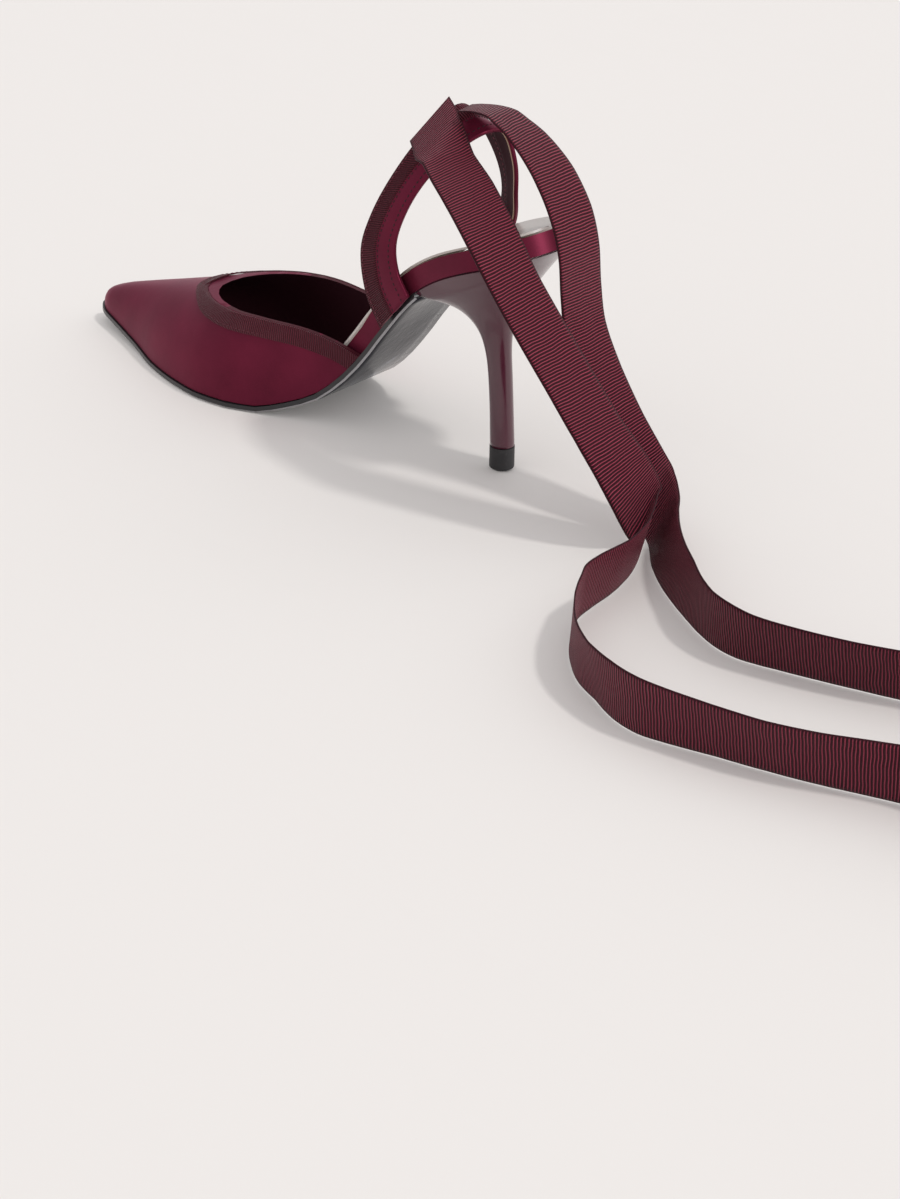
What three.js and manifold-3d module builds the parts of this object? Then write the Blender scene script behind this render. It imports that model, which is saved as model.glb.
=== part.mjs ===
// A right-foot backless pump: pointed vamp, open sides, slim high heel, and a sling at the
// back of the ankle that carries a long tie ribbon.
// Millimetres. +Y runs from the heel to the toe, +X to the outer (lateral) side of the foot,
// +Z up. The origin is the centre of the heel tip's underside, on the floor.
import * as THREE from 'three';
import Module from 'manifold-3d';

const wasm = await Module();
wasm.setup();

// Driving sizes of the last
const shoeLength = 242;
const heelSetIn = 25;
const ballWidth = 71;
const seatHeight = 92;
const instepHeight = 62;

// Sizes of the single pieces
const fit = 0.3;
const soleThickness = 2.4;
const soleChamfer = 0.7;
const breastPlace = 27.5;
const boardThickness = 7.4;
const foreBoardThickness = 2.6;
const boardInset = 0.9;
const boardClearance = 0.9;
const boardDish = 1.5;
const boardToeGap = 9;
const sockThickness = 0.8;
const sockInset = 1.5;
const sockLength = 88;
const sockGap = 0.45;
const vampWall = 1.6;
const soleLip = 0.8;
const bindingThickness = 0.6;
const seatRadius = 23;
const toeRadius = 9;
const toplift = 9;
const tipWidth = 9.4;
const strapThickness = 1.6;
const strapBandStep = 0.6;
const strapBandShare = 0.45;
const strapStepRamp = 0.02;
const slingHeight = 134;
const seatHalfShare = 0.318;

// The bottom of the last, a row for each section. along is the share of the shoe's length
// from the back of the seat, rise the share of the seat's height, medial and lateral the
// half widths as shares of the ball's width.
const lastRows = [
  { along: 0.000, rise: 1.000, medial: 0.318, lateral: 0.318 },
  { along: 0.050, rise: 0.949, medial: 0.318, lateral: 0.318 },
  { along: 0.103, rise: 0.894, medial: 0.317, lateral: 0.316 },
  { along: 0.160, rise: 0.821, medial: 0.300, lateral: 0.303 },
  { along: 0.215, rise: 0.723, medial: 0.268, lateral: 0.292 },
  { along: 0.258, rise: 0.615, medial: 0.232, lateral: 0.294 },
  { along: 0.302, rise: 0.479, medial: 0.206, lateral: 0.304 },
  { along: 0.347, rise: 0.322, medial: 0.203, lateral: 0.318 },
  { along: 0.393, rise: 0.183, medial: 0.225, lateral: 0.340 },
  { along: 0.434, rise: 0.090, medial: 0.272, lateral: 0.368 },
  { along: 0.479, rise: 0.037, medial: 0.342, lateral: 0.403 },
  { along: 0.530, rise: 0.000, medial: 0.414, lateral: 0.452 },
  { along: 0.575, rise: 0.000, medial: 0.468, lateral: 0.488 },
  { along: 0.628, rise: 0.000, medial: 0.483, lateral: 0.507 },
  { along: 0.690, rise: 0.000, medial: 0.452, lateral: 0.480 },
  { along: 0.765, rise: 0.000, medial: 0.378, lateral: 0.398 },
  { along: 0.845, rise: 0.012, medial: 0.262, lateral: 0.262 },
  { along: 0.925, rise: 0.030, medial: 0.160, lateral: 0.148 },
  { along: 0.970, rise: 0.043, medial: 0.108, lateral: 0.092 },
  { along: 1.000, rise: 0.053, medial: 0.080, lateral: 0.060 },
];

// The vamp over the last. ridge is the height of its top line, edge the height of the
// topline that the foot goes in through, bound the lower edge of the bound strip along it,
// all as shares of the instep's height.
const vampRows = [
  { along: 0.300, ridge: 1.52, edge: 0.560, bound: 0.30 },
  { along: 0.345, ridge: 1.40, edge: 0.505, bound: 0.37 },
  { along: 0.384, ridge: 1.30, edge: 0.540, bound: 0.425 },
  { along: 0.426, ridge: 1.18, edge: 0.578, bound: 0.465 },
  { along: 0.475, ridge: 1.05, edge: 0.602, bound: 0.492 },
  { along: 0.537, ridge: 0.905, edge: 0.606, bound: 0.500 },
  { along: 0.599, ridge: 0.765, edge: 0.598, bound: 0.502 },
  { along: 0.657, ridge: 0.650, edge: 0.583, bound: 0.514 },
  { along: 0.686, ridge: 0.600, edge: 0.573, bound: 0.530 },
  { along: 0.712, ridge: 0.562, edge: 0.563, bound: 0.540 },
  { along: 0.741, ridge: 0.524, edge: 0.552, bound: 0.526 },
  { along: 0.822, ridge: 0.432, edge: 0.552, bound: 0.520 },
  { along: 0.900, ridge: 0.345, edge: 0.552, bound: 0.520 },
  { along: 0.950, ridge: 0.282, edge: 0.552, bound: 0.520 },
  { along: 0.980, ridge: 0.228, edge: 0.552, bound: 0.520 },
  { along: 1.000, ridge: 0.172, edge: 0.552, bound: 0.520 },
];
const throatPlace = 0.712;
const boundEnd = 0.741;

// Places along the foot, from the heel tip, where the pieces change
const roundSteps = 7;
const waistFront = 44;
const vampRear = 54;
const vampFormRear = 46;
const blockRear = 30;
const openingLean = 4;
const shankEnd = 58;
const ballPlace = 98;
const toeDome = 5;
const coreDepth = 6;
// How full the vamp's sections are: 1 is an ellipse, less is fuller
const sideFullness = 0.82;
const topFullness = 0.94;
const toeEndShare = 0.35;
const sockFrontRound = 12;
const heelTopInset = 0.6;
const leastHalfWidth = 0.8;
const leastDetail = 0.03;

// The tie ribbon, tacked at the top of the sling. Each row is one crossing of the ribbon:
// low is the edge that ends up on the floor and high points to the other edge.
const ribbonWidth = 22;
const ribbonThickness = 0.5;
const squareness = 0.4;
const ribbonSteps = 2;
const endCapLength = 14;
const endCapThickness = 1.2;
const rearTail = [
  { low: [-10.1, 13.8, 135.2], high: [7.9, 25.6, 130.8] },
  { low: [-10.3, 7.7, 136.5], high: [7.8, 19.6, 132.4] },
  { low: [-11, 0.6, 136.5], high: [8.5, 10.3, 133.5] },
  { low: [-11, -3.6, 134.2], high: [9.2, 5, 133.2] },
  { low: [-11, -7.2, 132.2], high: [9.8, -0.1, 131] },
  { low: [-11, -11.8, 128.4], high: [10.4, -6.6, 128] },
  { low: [-11, -16.4, 124], high: [10.8, -13.2, 123.6] },
  { low: [-11, -22, 117.1], high: [10.9, -20.5, 117.3] },
  { low: [-11, -28.5, 106], high: [11, -28.5, 106] },
  { low: [-11, -32.5, 94], high: [11, -32.5, 94] },
  { low: [-11, -34.2, 79], high: [11, -34.2, 79] },
  { low: [-11.2, -37, 64], high: [10.8, -37, 65.5] },
  { low: [-12, -44.5, 48], high: [9.5, -45.5, 51] },
  { low: [-13.5, -54.5, 31], high: [6.5, -58, 37] },
  { low: [-12.5, -64.5, 15], high: [4, -69, 26] },
  { low: [-11, -72.5, 5], high: [0, -77.5, 22.5] },
  { low: [-14.2, -79.5, 0.6], high: [-7.1, -86, 20] },
  { low: [-26.2, -90.3, 0.5], high: [-20.1, -95.5, 20.2] },
  { low: [-35.4, -101.2, 0.5], high: [-31.1, -104.7, 21.2] },
  { low: [-42.3, -111.4, 0.5], high: [-39.6, -113.2, 21.8] },
  { low: [-48.5, -121.8, 0.5], high: [-47.4, -122.4, 22] },
  { low: [-53.7, -131.6, 0.5], high: [-54.9, -131.2, 22] },
  { low: [-57.1, -140.7, 0.5], high: [-60.3, -139.9, 21.8] },
  { low: [-58.2, -148.9, 0.5], high: [-62.8, -148.9, 21.4] },
  { low: [-57.2, -155.9, 0.5], high: [-63.4, -157, 21] },
  { low: [-55.5, -163, 0.5], high: [-62.4, -164.4, 20.8] },
  { low: [-52.2, -176.3, 0.5], high: [-59.4, -178.1, 20.8] },
  { low: [-48.6, -189.4, 0.5], high: [-55.7, -191.3, 20.8] },
  { low: [-44.9, -202.4, 0.5], high: [-51.3, -204.1, 21] },
  { low: [-40.6, -217, 0.5], high: [-45.6, -218, 21.4] },
  { low: [-37.7, -232, 0.5], high: [-41, -232.3, 21.6] },
  { low: [-37.6, -247.5, 0.5], high: [-39.6, -247.2, 21.8] },
  { low: [-41, -262.5, 0.5], high: [-41.6, -262.2, 22] },
  { low: [-47.5, -276, 0.5], high: [-47.2, -276.2, 22] },
  { low: [-56.5, -288, 0.5], high: [-55.8, -288.5, 22] },
  { low: [-67, -298, 0.5], high: [-66.3, -298.8, 22] },
];
const frontTail = [
  { low: [-18.5, 28.9, 122.9], high: [-0.3, 28.6, 135.2] },
  { low: [-23, 23.5, 122], high: [-4.4, 21.8, 133.6] },
  { low: [-27.8, 18.3, 121.1], high: [-8.5, 15.6, 131.2] },
  { low: [-31.8, 11.1, 121.8], high: [-10.3, 11.1, 126.6] },
  { low: [-34.7, 5.8, 119.5], high: [-12.9, 5.6, 122.7] },
  { low: [-38.9, -5.2, 113.1], high: [-17.5, -6.9, 116.9] },
  { low: [-43.3, -19, 103], high: [-21.8, -21.1, 106.2] },
  { low: [-42.4, -30.4, 87.2], high: [-20.8, -31.4, 90] },
  { low: [-41, -39.7, 74.5], high: [-19.4, -41, 77] },
  { low: [-38.5, -50.9, 58.7], high: [-17, -52.7, 60.6] },
  { low: [-35.5, -61.8, 42.3], high: [-13.8, -64.4, 44] },
  { low: [-32, -69, 29], high: [-11.4, -71.6, 34.6] },
  { low: [-27.4, -73.6, 16.4], high: [-9.4, -75.6, 28] },
  { low: [-21.6, -75.8, 5.6], high: [-8.6, -78, 23.4] },
  { low: [-18.4, -77.6, 0.9], high: [-11.4, -80.4, 21.6] },
  { low: [-19.6, -80, 0.5], high: [-17.2, -84, 21.2] },
  { low: [-26, -83.8, 0.5], high: [-24.6, -88.6, 21.2] },
  { low: [-35.1, -87.9, 0.5], high: [-33.2, -93, 21.2] },
  { low: [-43, -90.3, 0.5], high: [-41.6, -95.6, 21.3] },
  { low: [-50.4, -91.9, 0.5], high: [-49.8, -97.2, 21.5] },
  { low: [-64.1, -93.4, 0.5], high: [-64, -97.1, 21.6] },
  { low: [-73, -95, 0.5], high: [-73, -98.2, 21.8] },
  { low: [-80.5, -99.4, 0.5], high: [-79.8, -101.6, 22] },
  { low: [-88, -104.2, 0.5], high: [-87.2, -105.6, 22] },
  { low: [-95, -110, 0.5], high: [-94.6, -110.6, 22] },
  { low: [-104.2, -120.6, 0.5], high: [-105.5, -120.2, 22] },
  { low: [-109.8, -132.5, 0.5], high: [-113, -130.8, 22] },
  { low: [-115.3, -144.3, 0.5], high: [-117.8, -143.5, 22] },
  { low: [-117, -154.6, 0.5], high: [-120, -154.6, 22] },
  { low: [-115.6, -163.4, 0.5], high: [-119.7, -164.2, 22] },
  { low: [-111.4, -180, 0.5], high: [-117.2, -181.4, 21.4] },
  { low: [-107.6, -196.6, 0.5], high: [-114, -198.4, 21.2] },
  { low: [-103.3, -212.5, 0.5], high: [-108.9, -214.3, 21.4] },
  { low: [-98.3, -227.8, 0.5], high: [-102.4, -229, 21.6] },
  { low: [-94.6, -240.5, 0.5], high: [-97.4, -241.2, 21.8] },
  { low: [-93.4, -253, 0.5], high: [-95, -253, 22] },
  { low: [-95.6, -265.5, 0.5], high: [-95.8, -265.2, 22] },
  { low: [-101.5, -277, 0.5], high: [-101, -277.2, 22] },
];

// The heel, a row for each level. back and front are places along the foot and half the half
// width, as shares of the seat's height; the lifts are shares of the height from the toplift
// to the seat; square is how far the round section turns into the seat's own outline.
const heelRows = [
  { back: -0.050, backLift: 0.000, front: 0.050, frontLift: 0.000, half: 0.050, square: 0.00 },
  { back: -0.042, backLift: 0.166, front: 0.056, frontLift: 0.166, half: 0.048, square: 0.00 },
  { back: -0.032, backLift: 0.333, front: 0.066, frontLift: 0.321, half: 0.049, square: 0.00 },
  { back: -0.024, backLift: 0.444, front: 0.078, frontLift: 0.416, half: 0.052, square: 0.02 },
  { back: -0.026, backLift: 0.544, front: 0.100, frontLift: 0.499, half: 0.064, square: 0.06 },
  { back: -0.048, backLift: 0.638, front: 0.134, frontLift: 0.562, half: 0.092, square: 0.14 },
  { back: -0.098, backLift: 0.744, front: 0.180, frontLift: 0.611, half: 0.136, square: 0.30 },
  { back: -0.162, backLift: 0.853, front: 0.230, frontLift: 0.642, half: 0.187, square: 0.55 },
  { back: -0.222, backLift: 0.939, front: 0.268, frontLift: 0.657, half: 0.222, square: 0.80 },
];

// The sling's two straps, a row for each section from the sole up to the middle. ahead is
// the place along the foot and lift the height, as shares of the sling's height; out is the
// distance from the middle as a share of the ball's width; front is the bound edge.
const medialStrapRows = [
  { frontAhead: 0.328, frontLift: 0.366, frontOut: 0.236, rearAhead: 0.213, rearLift: 0.489, rearOut: 0.276 },
  { frontAhead: 0.366, frontLift: 0.456, frontOut: 0.262, rearAhead: 0.246, rearLift: 0.549, rearOut: 0.285 },
  { frontAhead: 0.372, frontLift: 0.590, frontOut: 0.290, rearAhead: 0.256, rearLift: 0.625, rearOut: 0.285 },
  { frontAhead: 0.340, frontLift: 0.690, frontOut: 0.282, rearAhead: 0.226, rearLift: 0.726, rearOut: 0.262 },
  { frontAhead: 0.290, frontLift: 0.800, frontOut: 0.232, rearAhead: 0.176, rearLift: 0.822, rearOut: 0.206 },
  { frontAhead: 0.235, frontLift: 0.905, frontOut: 0.140, rearAhead: 0.120, rearLift: 0.895, rearOut: 0.118 },
];
const strapMiddle = { frontAhead: 0.186, frontLift: 0.981, rearAhead: 0.080, rearLift: 0.934 };
const lateralStrapRows = [
  { frontAhead: 0.205, frontLift: 0.906, frontOut: 0.212, rearAhead: 0.078, rearLift: 0.920, rearOut: 0.132 },
  { frontAhead: 0.179, frontLift: 0.797, frontOut: 0.300, rearAhead: 0.063, rearLift: 0.836, rearOut: 0.179 },
  { frontAhead: 0.179, frontLift: 0.710, frontOut: 0.339, rearAhead: 0.067, rearLift: 0.746, rearOut: 0.198 },
  { frontAhead: 0.222, frontLift: 0.600, frontOut: 0.376, rearAhead: 0.104, rearLift: 0.655, rearOut: 0.280 },
  { frontAhead: 0.290, frontLift: 0.480, frontOut: 0.352, rearAhead: 0.165, rearLift: 0.560, rearOut: 0.338 },
  { frontAhead: 0.328, frontLift: 0.366, frontOut: 0.326, rearAhead: 0.213, rearLift: 0.489, rearOut: 0.318 },
];

const seatBack = -heelSetIn;
const toeTip = shoeLength - heelSetIn;

// A curve through one column of a table that never swings past its own points
function column(rows, name) {
  const places = rows.map((row) => seatBack + row.along * shoeLength);
  const values = rows.map((row) => row[name]);
  const slopes = values.map((value, i) => {
    if (i === 0 || i === values.length - 1) return 0;
    const before = (value - values[i - 1]) / (places[i] - places[i - 1]);
    const after = (values[i + 1] - value) / (places[i + 1] - places[i]);
    return before * after <= 0 ? 0 : (2 * before * after) / (before + after);
  });
  slopes[0] = (values[1] - values[0]) / (places[1] - places[0]);
  const last = values.length - 1;
  slopes[last] = (values[last] - values[last - 1]) / (places[last] - places[last - 1]);
  return (place) => {
    const at = THREE.MathUtils.clamp(place, places[0], places[last]);
    let i = 0;
    while (i < last - 1 && at > places[i + 1]) i += 1;
    const span = places[i + 1] - places[i];
    const t = (at - places[i]) / span;
    return values[i] + span * slopes[i] * t
      + (3 * (values[i + 1] - values[i]) - span * (2 * slopes[i] + slopes[i + 1])) * t * t
      + (2 * (values[i] - values[i + 1]) + span * (slopes[i] + slopes[i + 1])) * t * t * t;
  };
}

const riseShare = column(lastRows, 'rise');
const medialShare = column(lastRows, 'medial');
const lateralShare = column(lastRows, 'lateral');
const ridgeShare = column(vampRows, 'ridge');
const edgeShare = column(vampRows, 'edge');
const boundShare = column(vampRows, 'bound');

// The feather line, where the sole meets the upper: the floor of every other height
const featherRise = (place) => soleThickness + (seatHeight - soleThickness) * riseShare(place);

function roundEnd(distance, radius) {
  const t = THREE.MathUtils.clamp(1 - distance / radius, 0, 1);
  return Math.sqrt(Math.max(0, 1 - t * t));
}

// Half width of the bottom outline on one side (-1 medial, +1 lateral), set in by inset
function halfWidth(place, side, inset) {
  const share = side < 0 ? medialShare(place) : lateralShare(place);
  const back = roundEnd(place - seatBack - inset, seatRadius - inset);
  const front = roundEnd(toeTip - inset - place, toeRadius);
  return Math.max(leastHalfWidth, (share * ballWidth - inset) * back * front);
}

function featherNormal(place) {
  const slope = featherRise(place + 0.5) - featherRise(place - 0.5);
  const length = Math.hypot(slope, 1);
  return { ahead: -slope / length, up: 1 / length };
}

// A point over the bottom of the last: out across the foot, high square to the feather line
function overFeather(place, out, high) {
  const normal = featherNormal(place);
  return new THREE.Vector3(out, place + high * normal.ahead, featherRise(place) + high * normal.up);
}

function smoothStep(from, to, value) {
  return THREE.MathUtils.smoothstep(value, from, to);
}

// Places from start to end: even steps between, and finer ones where an end is round
function stations(start, end, steps, startRound, endRound) {
  const quarter = (i) => (Math.PI * i) / (2 * roundSteps);
  const list = [];
  for (let i = 0; startRound > 0 && i < roundSteps; i += 1) {
    list.push(start + startRound * (1 - Math.cos(quarter(i))));
  }
  const from = start + startRound;
  const to = end - endRound;
  for (let i = 0; i <= steps; i += 1) list.push(from + ((to - from) * i) / steps);
  for (let i = 1; endRound > 0 && i <= roundSteps; i += 1) {
    list.push(to + endRound * Math.sin(quarter(i)));
  }
  return list;
}

// A closed solid through rings of equal length, capped by a fan at each end. Faces from
// turnFrom on around the ring are split the other way, so both sides of a thin twisted strip
// have the same folds.
function loft(rings, turnFrom = Infinity) {
  const count = rings[0].length;
  const points = rings.flat();
  const index = [];
  for (let i = 0; i < rings.length - 1; i += 1) {
    for (let j = 0; j < count; j += 1) {
      const a = i * count + j;
      const b = i * count + ((j + 1) % count);
      const turned = [a, b, a + count, b, b + count, a + count];
      index.push(...(j >= turnFrom ? turned : [a, b, b + count, a, b + count, a + count]));
    }
  }
  [[0, true], [rings.length - 1, false]].forEach(([ring, first]) => {
    const middle = rings[ring].reduce((sum, p) => sum.add(p), new THREE.Vector3()).divideScalar(count);
    points.push(middle);
    for (let j = 0; j < count; j += 1) {
      const a = ring * count + j;
      const b = ring * count + ((j + 1) % count);
      index.push(...(first ? [points.length - 1, b, a] : [points.length - 1, a, b]));
    }
  });
  const geometry = new THREE.BufferGeometry().setFromPoints(points);
  geometry.setIndex(index);
  if (signedVolume(geometry) < 0) {
    for (let i = 0; i < index.length; i += 3) [index[i], index[i + 1]] = [index[i + 1], index[i]];
    geometry.setIndex(index);
  }
  return geometry;
}

function signedVolume(geometry) {
  const position = geometry.attributes.position;
  const index = geometry.index.array;
  const corner = [0, 1, 2].map(() => new THREE.Vector3());
  let sum = 0;
  for (let i = 0; i < index.length; i += 3) {
    corner.forEach((vector, k) => vector.fromBufferAttribute(position, index[i + k]));
    sum += corner[0].dot(corner[1].cross(corner[2])) / 6;
  }
  return sum;
}

function toSolid(geometry) {
  return new wasm.Manifold(new wasm.Mesh({
    numProp: 3,
    vertProperties: new Float32Array(geometry.attributes.position.array),
    triVerts: new Uint32Array(geometry.index.array),
  }));
}

// Back to a plain mesh, without the slivers that cutting leaves
function toGeometry(solid) {
  const mesh = solid.simplify(leastDetail).getMesh();
  const geometry = new THREE.BufferGeometry();
  geometry.setAttribute('position', new THREE.BufferAttribute(mesh.vertProperties, 3));
  geometry.setIndex(new THREE.BufferAttribute(mesh.triVerts, 1));
  return geometry;
}

// A slab over the feather line between two heights, each a function of place and of the
// share of the way across, from -1 (medial) to +1 (lateral)
function slab(places, inset, low, high, across, chamfer) {
  return loft(places.map((place) => {
    const ring = [];
    const insetHere = inset(place);
    const reach = (share) => share * halfWidth(place, Math.sign(share) || 1, insetHere);
    for (let i = 0; i <= across; i += 1) {
      const share = -1 + (2 * i) / across;
      const edge = i === 0 || i === across ? Math.min(chamfer, 0.2 * Math.abs(reach(share))) : 0;
      ring.push(overFeather(place, reach(share) - Math.sign(share) * edge, low(place, share)));
    }
    if (chamfer > 0) ring.push(overFeather(place, reach(1), low(place, 1) + chamfer));
    for (let i = across; i >= 0; i -= 1) {
      const share = -1 + (2 * i) / across;
      ring.push(overFeather(place, reach(share), high(place, share)));
    }
    if (chamfer > 0) ring.push(overFeather(place, reach(-1), low(place, -1) + chamfer));
    return ring;
  }));
}

const boardTop = (place, share) => {
  const fore = smoothStep(shankEnd, ballPlace, place);
  const thick = THREE.MathUtils.lerp(boardThickness, foreBoardThickness, fore);
  return fit + thick - boardDish * (1 - fore) * (1 - share * share);
};

function outsole() {
  const places = stations(breastPlace + fit, toeTip, 32, 0, toeRadius);
  return slab(places, () => 0, () => -soleThickness, () => 0, 6, soleChamfer);
}

function insoleBoard() {
  const underVamp = soleLip + vampWall + boardClearance;
  const forward = (place) => smoothStep(waistFront, vampRear, place);
  const inset = (place) => THREE.MathUtils.lerp(boardInset, underVamp, forward(place));
  const places = stations(seatBack + boardInset, toeTip - underVamp - boardToeGap, 32, seatRadius, toeRadius);
  return slab(places, inset, () => fit, boardTop, 8, 0);
}

function heelSock() {
  const inset = () => boardInset + sockInset;
  const back = seatBack + boardInset + sockInset;
  const places = stations(back, seatBack + sockLength, 14, seatRadius, sockFrontRound);
  const low = (place, share) => boardTop(place, share) + sockGap;
  const high = (place, share) => low(place, share) + sockThickness;
  return slab(places, inset, low, high, 8, 0);
}

// The vamp's form over the last, set in by inset, from the rear place to the toe
function vampForm(inset, footing) {
  const arch = 24;
  const places = stations(vampFormRear, toeTip - soleLip - inset, 26, 0, toeRadius);
  return loft(places.map((place) => {
    const foot = featherRise(place) + footing;
    const closing = roundEnd(toeTip - soleLip - inset - place, toeDome);
    const top = Math.max(ridgeShare(place) * instepHeight - inset, foot + 1);
    const height = (top - featherRise(place)) * THREE.MathUtils.lerp(toeEndShare, 1, closing);
    const ring = [];
    for (let i = 0; i <= arch; i += 1) {
      const angle = Math.PI * (1 - i / arch);
      const side = Math.cos(angle) < 0 ? -1 : 1;
      const half = halfWidth(place, side, soleLip + inset);
      const out = side * half * Math.abs(Math.cos(angle)) ** sideFullness;
      const up = height * Math.abs(Math.sin(angle)) ** topFullness;
      ring.push(new THREE.Vector3(out, place, Math.max(foot, featherRise(place) + up)));
    }
    ring[0].z = foot;
    ring[arch].z = foot;
    return ring;
  }));
}

// A wide block over a line along the foot, from the rear to a front wall
function blockOver(line, frontPlace) {
  const reach = ballWidth;
  const ceiling = 2 * slingHeight;
  const shape = new THREE.Shape();
  const steps = 40;
  const rear = blockRear;
  shape.moveTo(rear, ceiling);
  for (let i = 0; i <= steps; i += 1) {
    const place = rear + ((frontPlace - rear) * i) / steps;
    shape.lineTo(place, line(place));
  }
  shape.lineTo(frontPlace + openingLean, ceiling);
  const block = new THREE.ExtrudeGeometry(shape, { depth: 2 * reach, bevelEnabled: false });
  block.deleteAttribute('normal');
  block.deleteAttribute('uv');
  block.translate(0, 0, -reach);
  return block;
}

function placeBlock(line, frontPlace) {
  const block = blockOver(line, frontPlace);
  const position = block.attributes.position;
  const keys = new Map();
  const points = [];
  const index = [];
  for (let i = 0; i < position.count; i += 1) {
    const point = new THREE.Vector3(position.getZ(i), position.getX(i), position.getY(i));
    const key = point.toArray().map((value) => value.toFixed(4)).join(' ');
    if (!keys.has(key)) {
      keys.set(key, points.length);
      points.push(point);
    }
    index.push(keys.get(key));
  }
  const geometry = new THREE.BufferGeometry().setFromPoints(points);
  geometry.setIndex(index);
  return toSolid(geometry);
}

const openingLine = (place) => edgeShare(place) * instepHeight;
const boundLine = (place) => boundShare(place) * instepHeight;
const throat = seatBack + throatPlace * shoeLength;
const boundFront = seatBack + boundEnd * shoeLength;

function vamp() {
  const outer = toSolid(vampForm(0, fit));
  const inner = toSolid(vampForm(vampWall, -coreDepth));
  return toGeometry(outer.subtract(inner).subtract(placeBlock(openingLine, throat)));
}

function toplineBinding() {
  const outer = toSolid(vampForm(-fit - bindingThickness, fit));
  const inner = toSolid(vampForm(-fit, -coreDepth));
  const strip = placeBlock(boundLine, boundFront).subtract(placeBlock(openingLine, throat));
  return toGeometry(outer.subtract(inner).intersect(strip));
}

// The heel's ring at one level. Half of it runs from the back to the breast's corner along
// the side, and then across the breast to the middle.
function heelRing(row, sideSteps, breastSteps, seatInset) {
  const steps = sideSteps + breastSteps;
  const ring = [];
  const backPlace = row.back * seatHeight;
  const frontPlace = row.front * seatHeight;
  const half = row.half * seatHeight;
  for (let k = 0; k < 2 * steps; k += 1) {
    const side = k < steps ? -1 : 1;
    const i = k < steps ? k : 2 * steps - k;
    const angle = (Math.PI * i) / steps;
    const roundPlace = (backPlace + frontPlace) / 2 - (Math.cos(angle) * (frontPlace - backPlace)) / 2;
    const roundOut = half * Math.sin(angle);
    const t = Math.min(1, i / sideSteps);
    const seatRun = breastPlace - seatBack - seatInset;
    const seatPlace = breastPlace - seatRun * Math.cos((t * Math.PI) / 2);
    const across = i <= sideSteps ? 1 : 1 - (i - sideSteps) / breastSteps;
    const seatOut = i === 0 ? 0 : halfWidth(seatPlace, side, seatInset) * across;
    const seatShare = (seatPlace - seatBack) / (breastPlace - seatBack);
    const squarePlace = THREE.MathUtils.lerp(backPlace, frontPlace, seatShare);
    const squareOut = (seatOut / (seatHalfShare * ballWidth)) * half;
    const place = THREE.MathUtils.lerp(roundPlace, squarePlace, row.square);
    const out = side * THREE.MathUtils.lerp(roundOut, squareOut, row.square);
    const along = (place - backPlace) / (frontPlace - backPlace);
    const share = THREE.MathUtils.lerp(row.backLift, row.frontLift, along);
    const lift = THREE.MathUtils.lerp(toplift + fit, seatHeight, share);
    ring.push(new THREE.Vector3(out, place, lift));
  }
  return ring;
}

function heelTopRing(sideSteps, breastSteps, seatInset) {
  const full = {
    back: seatBack / seatHeight,
    front: breastPlace / seatHeight,
    half: (seatHalfShare * ballWidth) / seatHeight,
    backLift: 0,
    frontLift: 0,
    square: 1,
  };
  const flat = heelRing(full, sideSteps, breastSteps, seatInset);
  return flat.map((point) => overFeather(point.y, point.x, -fit));
}

function heel() {
  const fine = 3;
  const sideSteps = 14;
  const breastSteps = 4;
  const rings = [];
  for (let k = 0; k <= (heelRows.length - 1) * fine; k += 1) {
    rings.push(heelRing(blendRow(heelRows, k / fine), sideSteps, breastSteps, heelTopInset));
  }
  rings.push(heelTopRing(sideSteps, breastSteps, heelTopInset));
  return loft(rings);
}

// One row of a table between two of its rows, on a smooth curve through them
function blendRow(rows, at) {
  const i = Math.min(Math.floor(at), rows.length - 2);
  const t = at - i;
  const pick = (k) => rows[THREE.MathUtils.clamp(k, 0, rows.length - 1)];
  const row = {};
  Object.keys(rows[0]).forEach((name) => {
    const [a, b, c, d] = [i - 1, i, i + 1, i + 2].map((k) => pick(k)[name]);
    row[name] = 0.5 * (2 * b + (c - a) * t + (2 * a - 5 * b + 4 * c - d) * t * t
      + (3 * b - a - 3 * c + d) * t * t * t);
  });
  return row;
}

function topliftPiece() {
  const wide = tipWidth / 2;
  const profile = [
    new THREE.Vector2(0, 0),
    new THREE.Vector2(wide - soleChamfer, 0),
    new THREE.Vector2(wide, soleChamfer),
    new THREE.Vector2(wide, toplift),
    new THREE.Vector2(0, toplift),
  ];
  return new THREE.LatheGeometry(profile, 32).rotateX(Math.PI / 2);
}

// The sling: both straps and the stretch behind the ankle in one band, with its front edge
// bound by a thicker strip
function slingRows() {
  const mirrored = (row) => ({ ...row, frontOut: -row.frontOut, rearOut: -row.rearOut });
  const medial = medialStrapRows.map(mirrored);
  const middle = { ...strapMiddle, frontOut: 0, rearOut: 0 };
  return [...medial, middle, ...lateralStrapRows];
}

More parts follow.
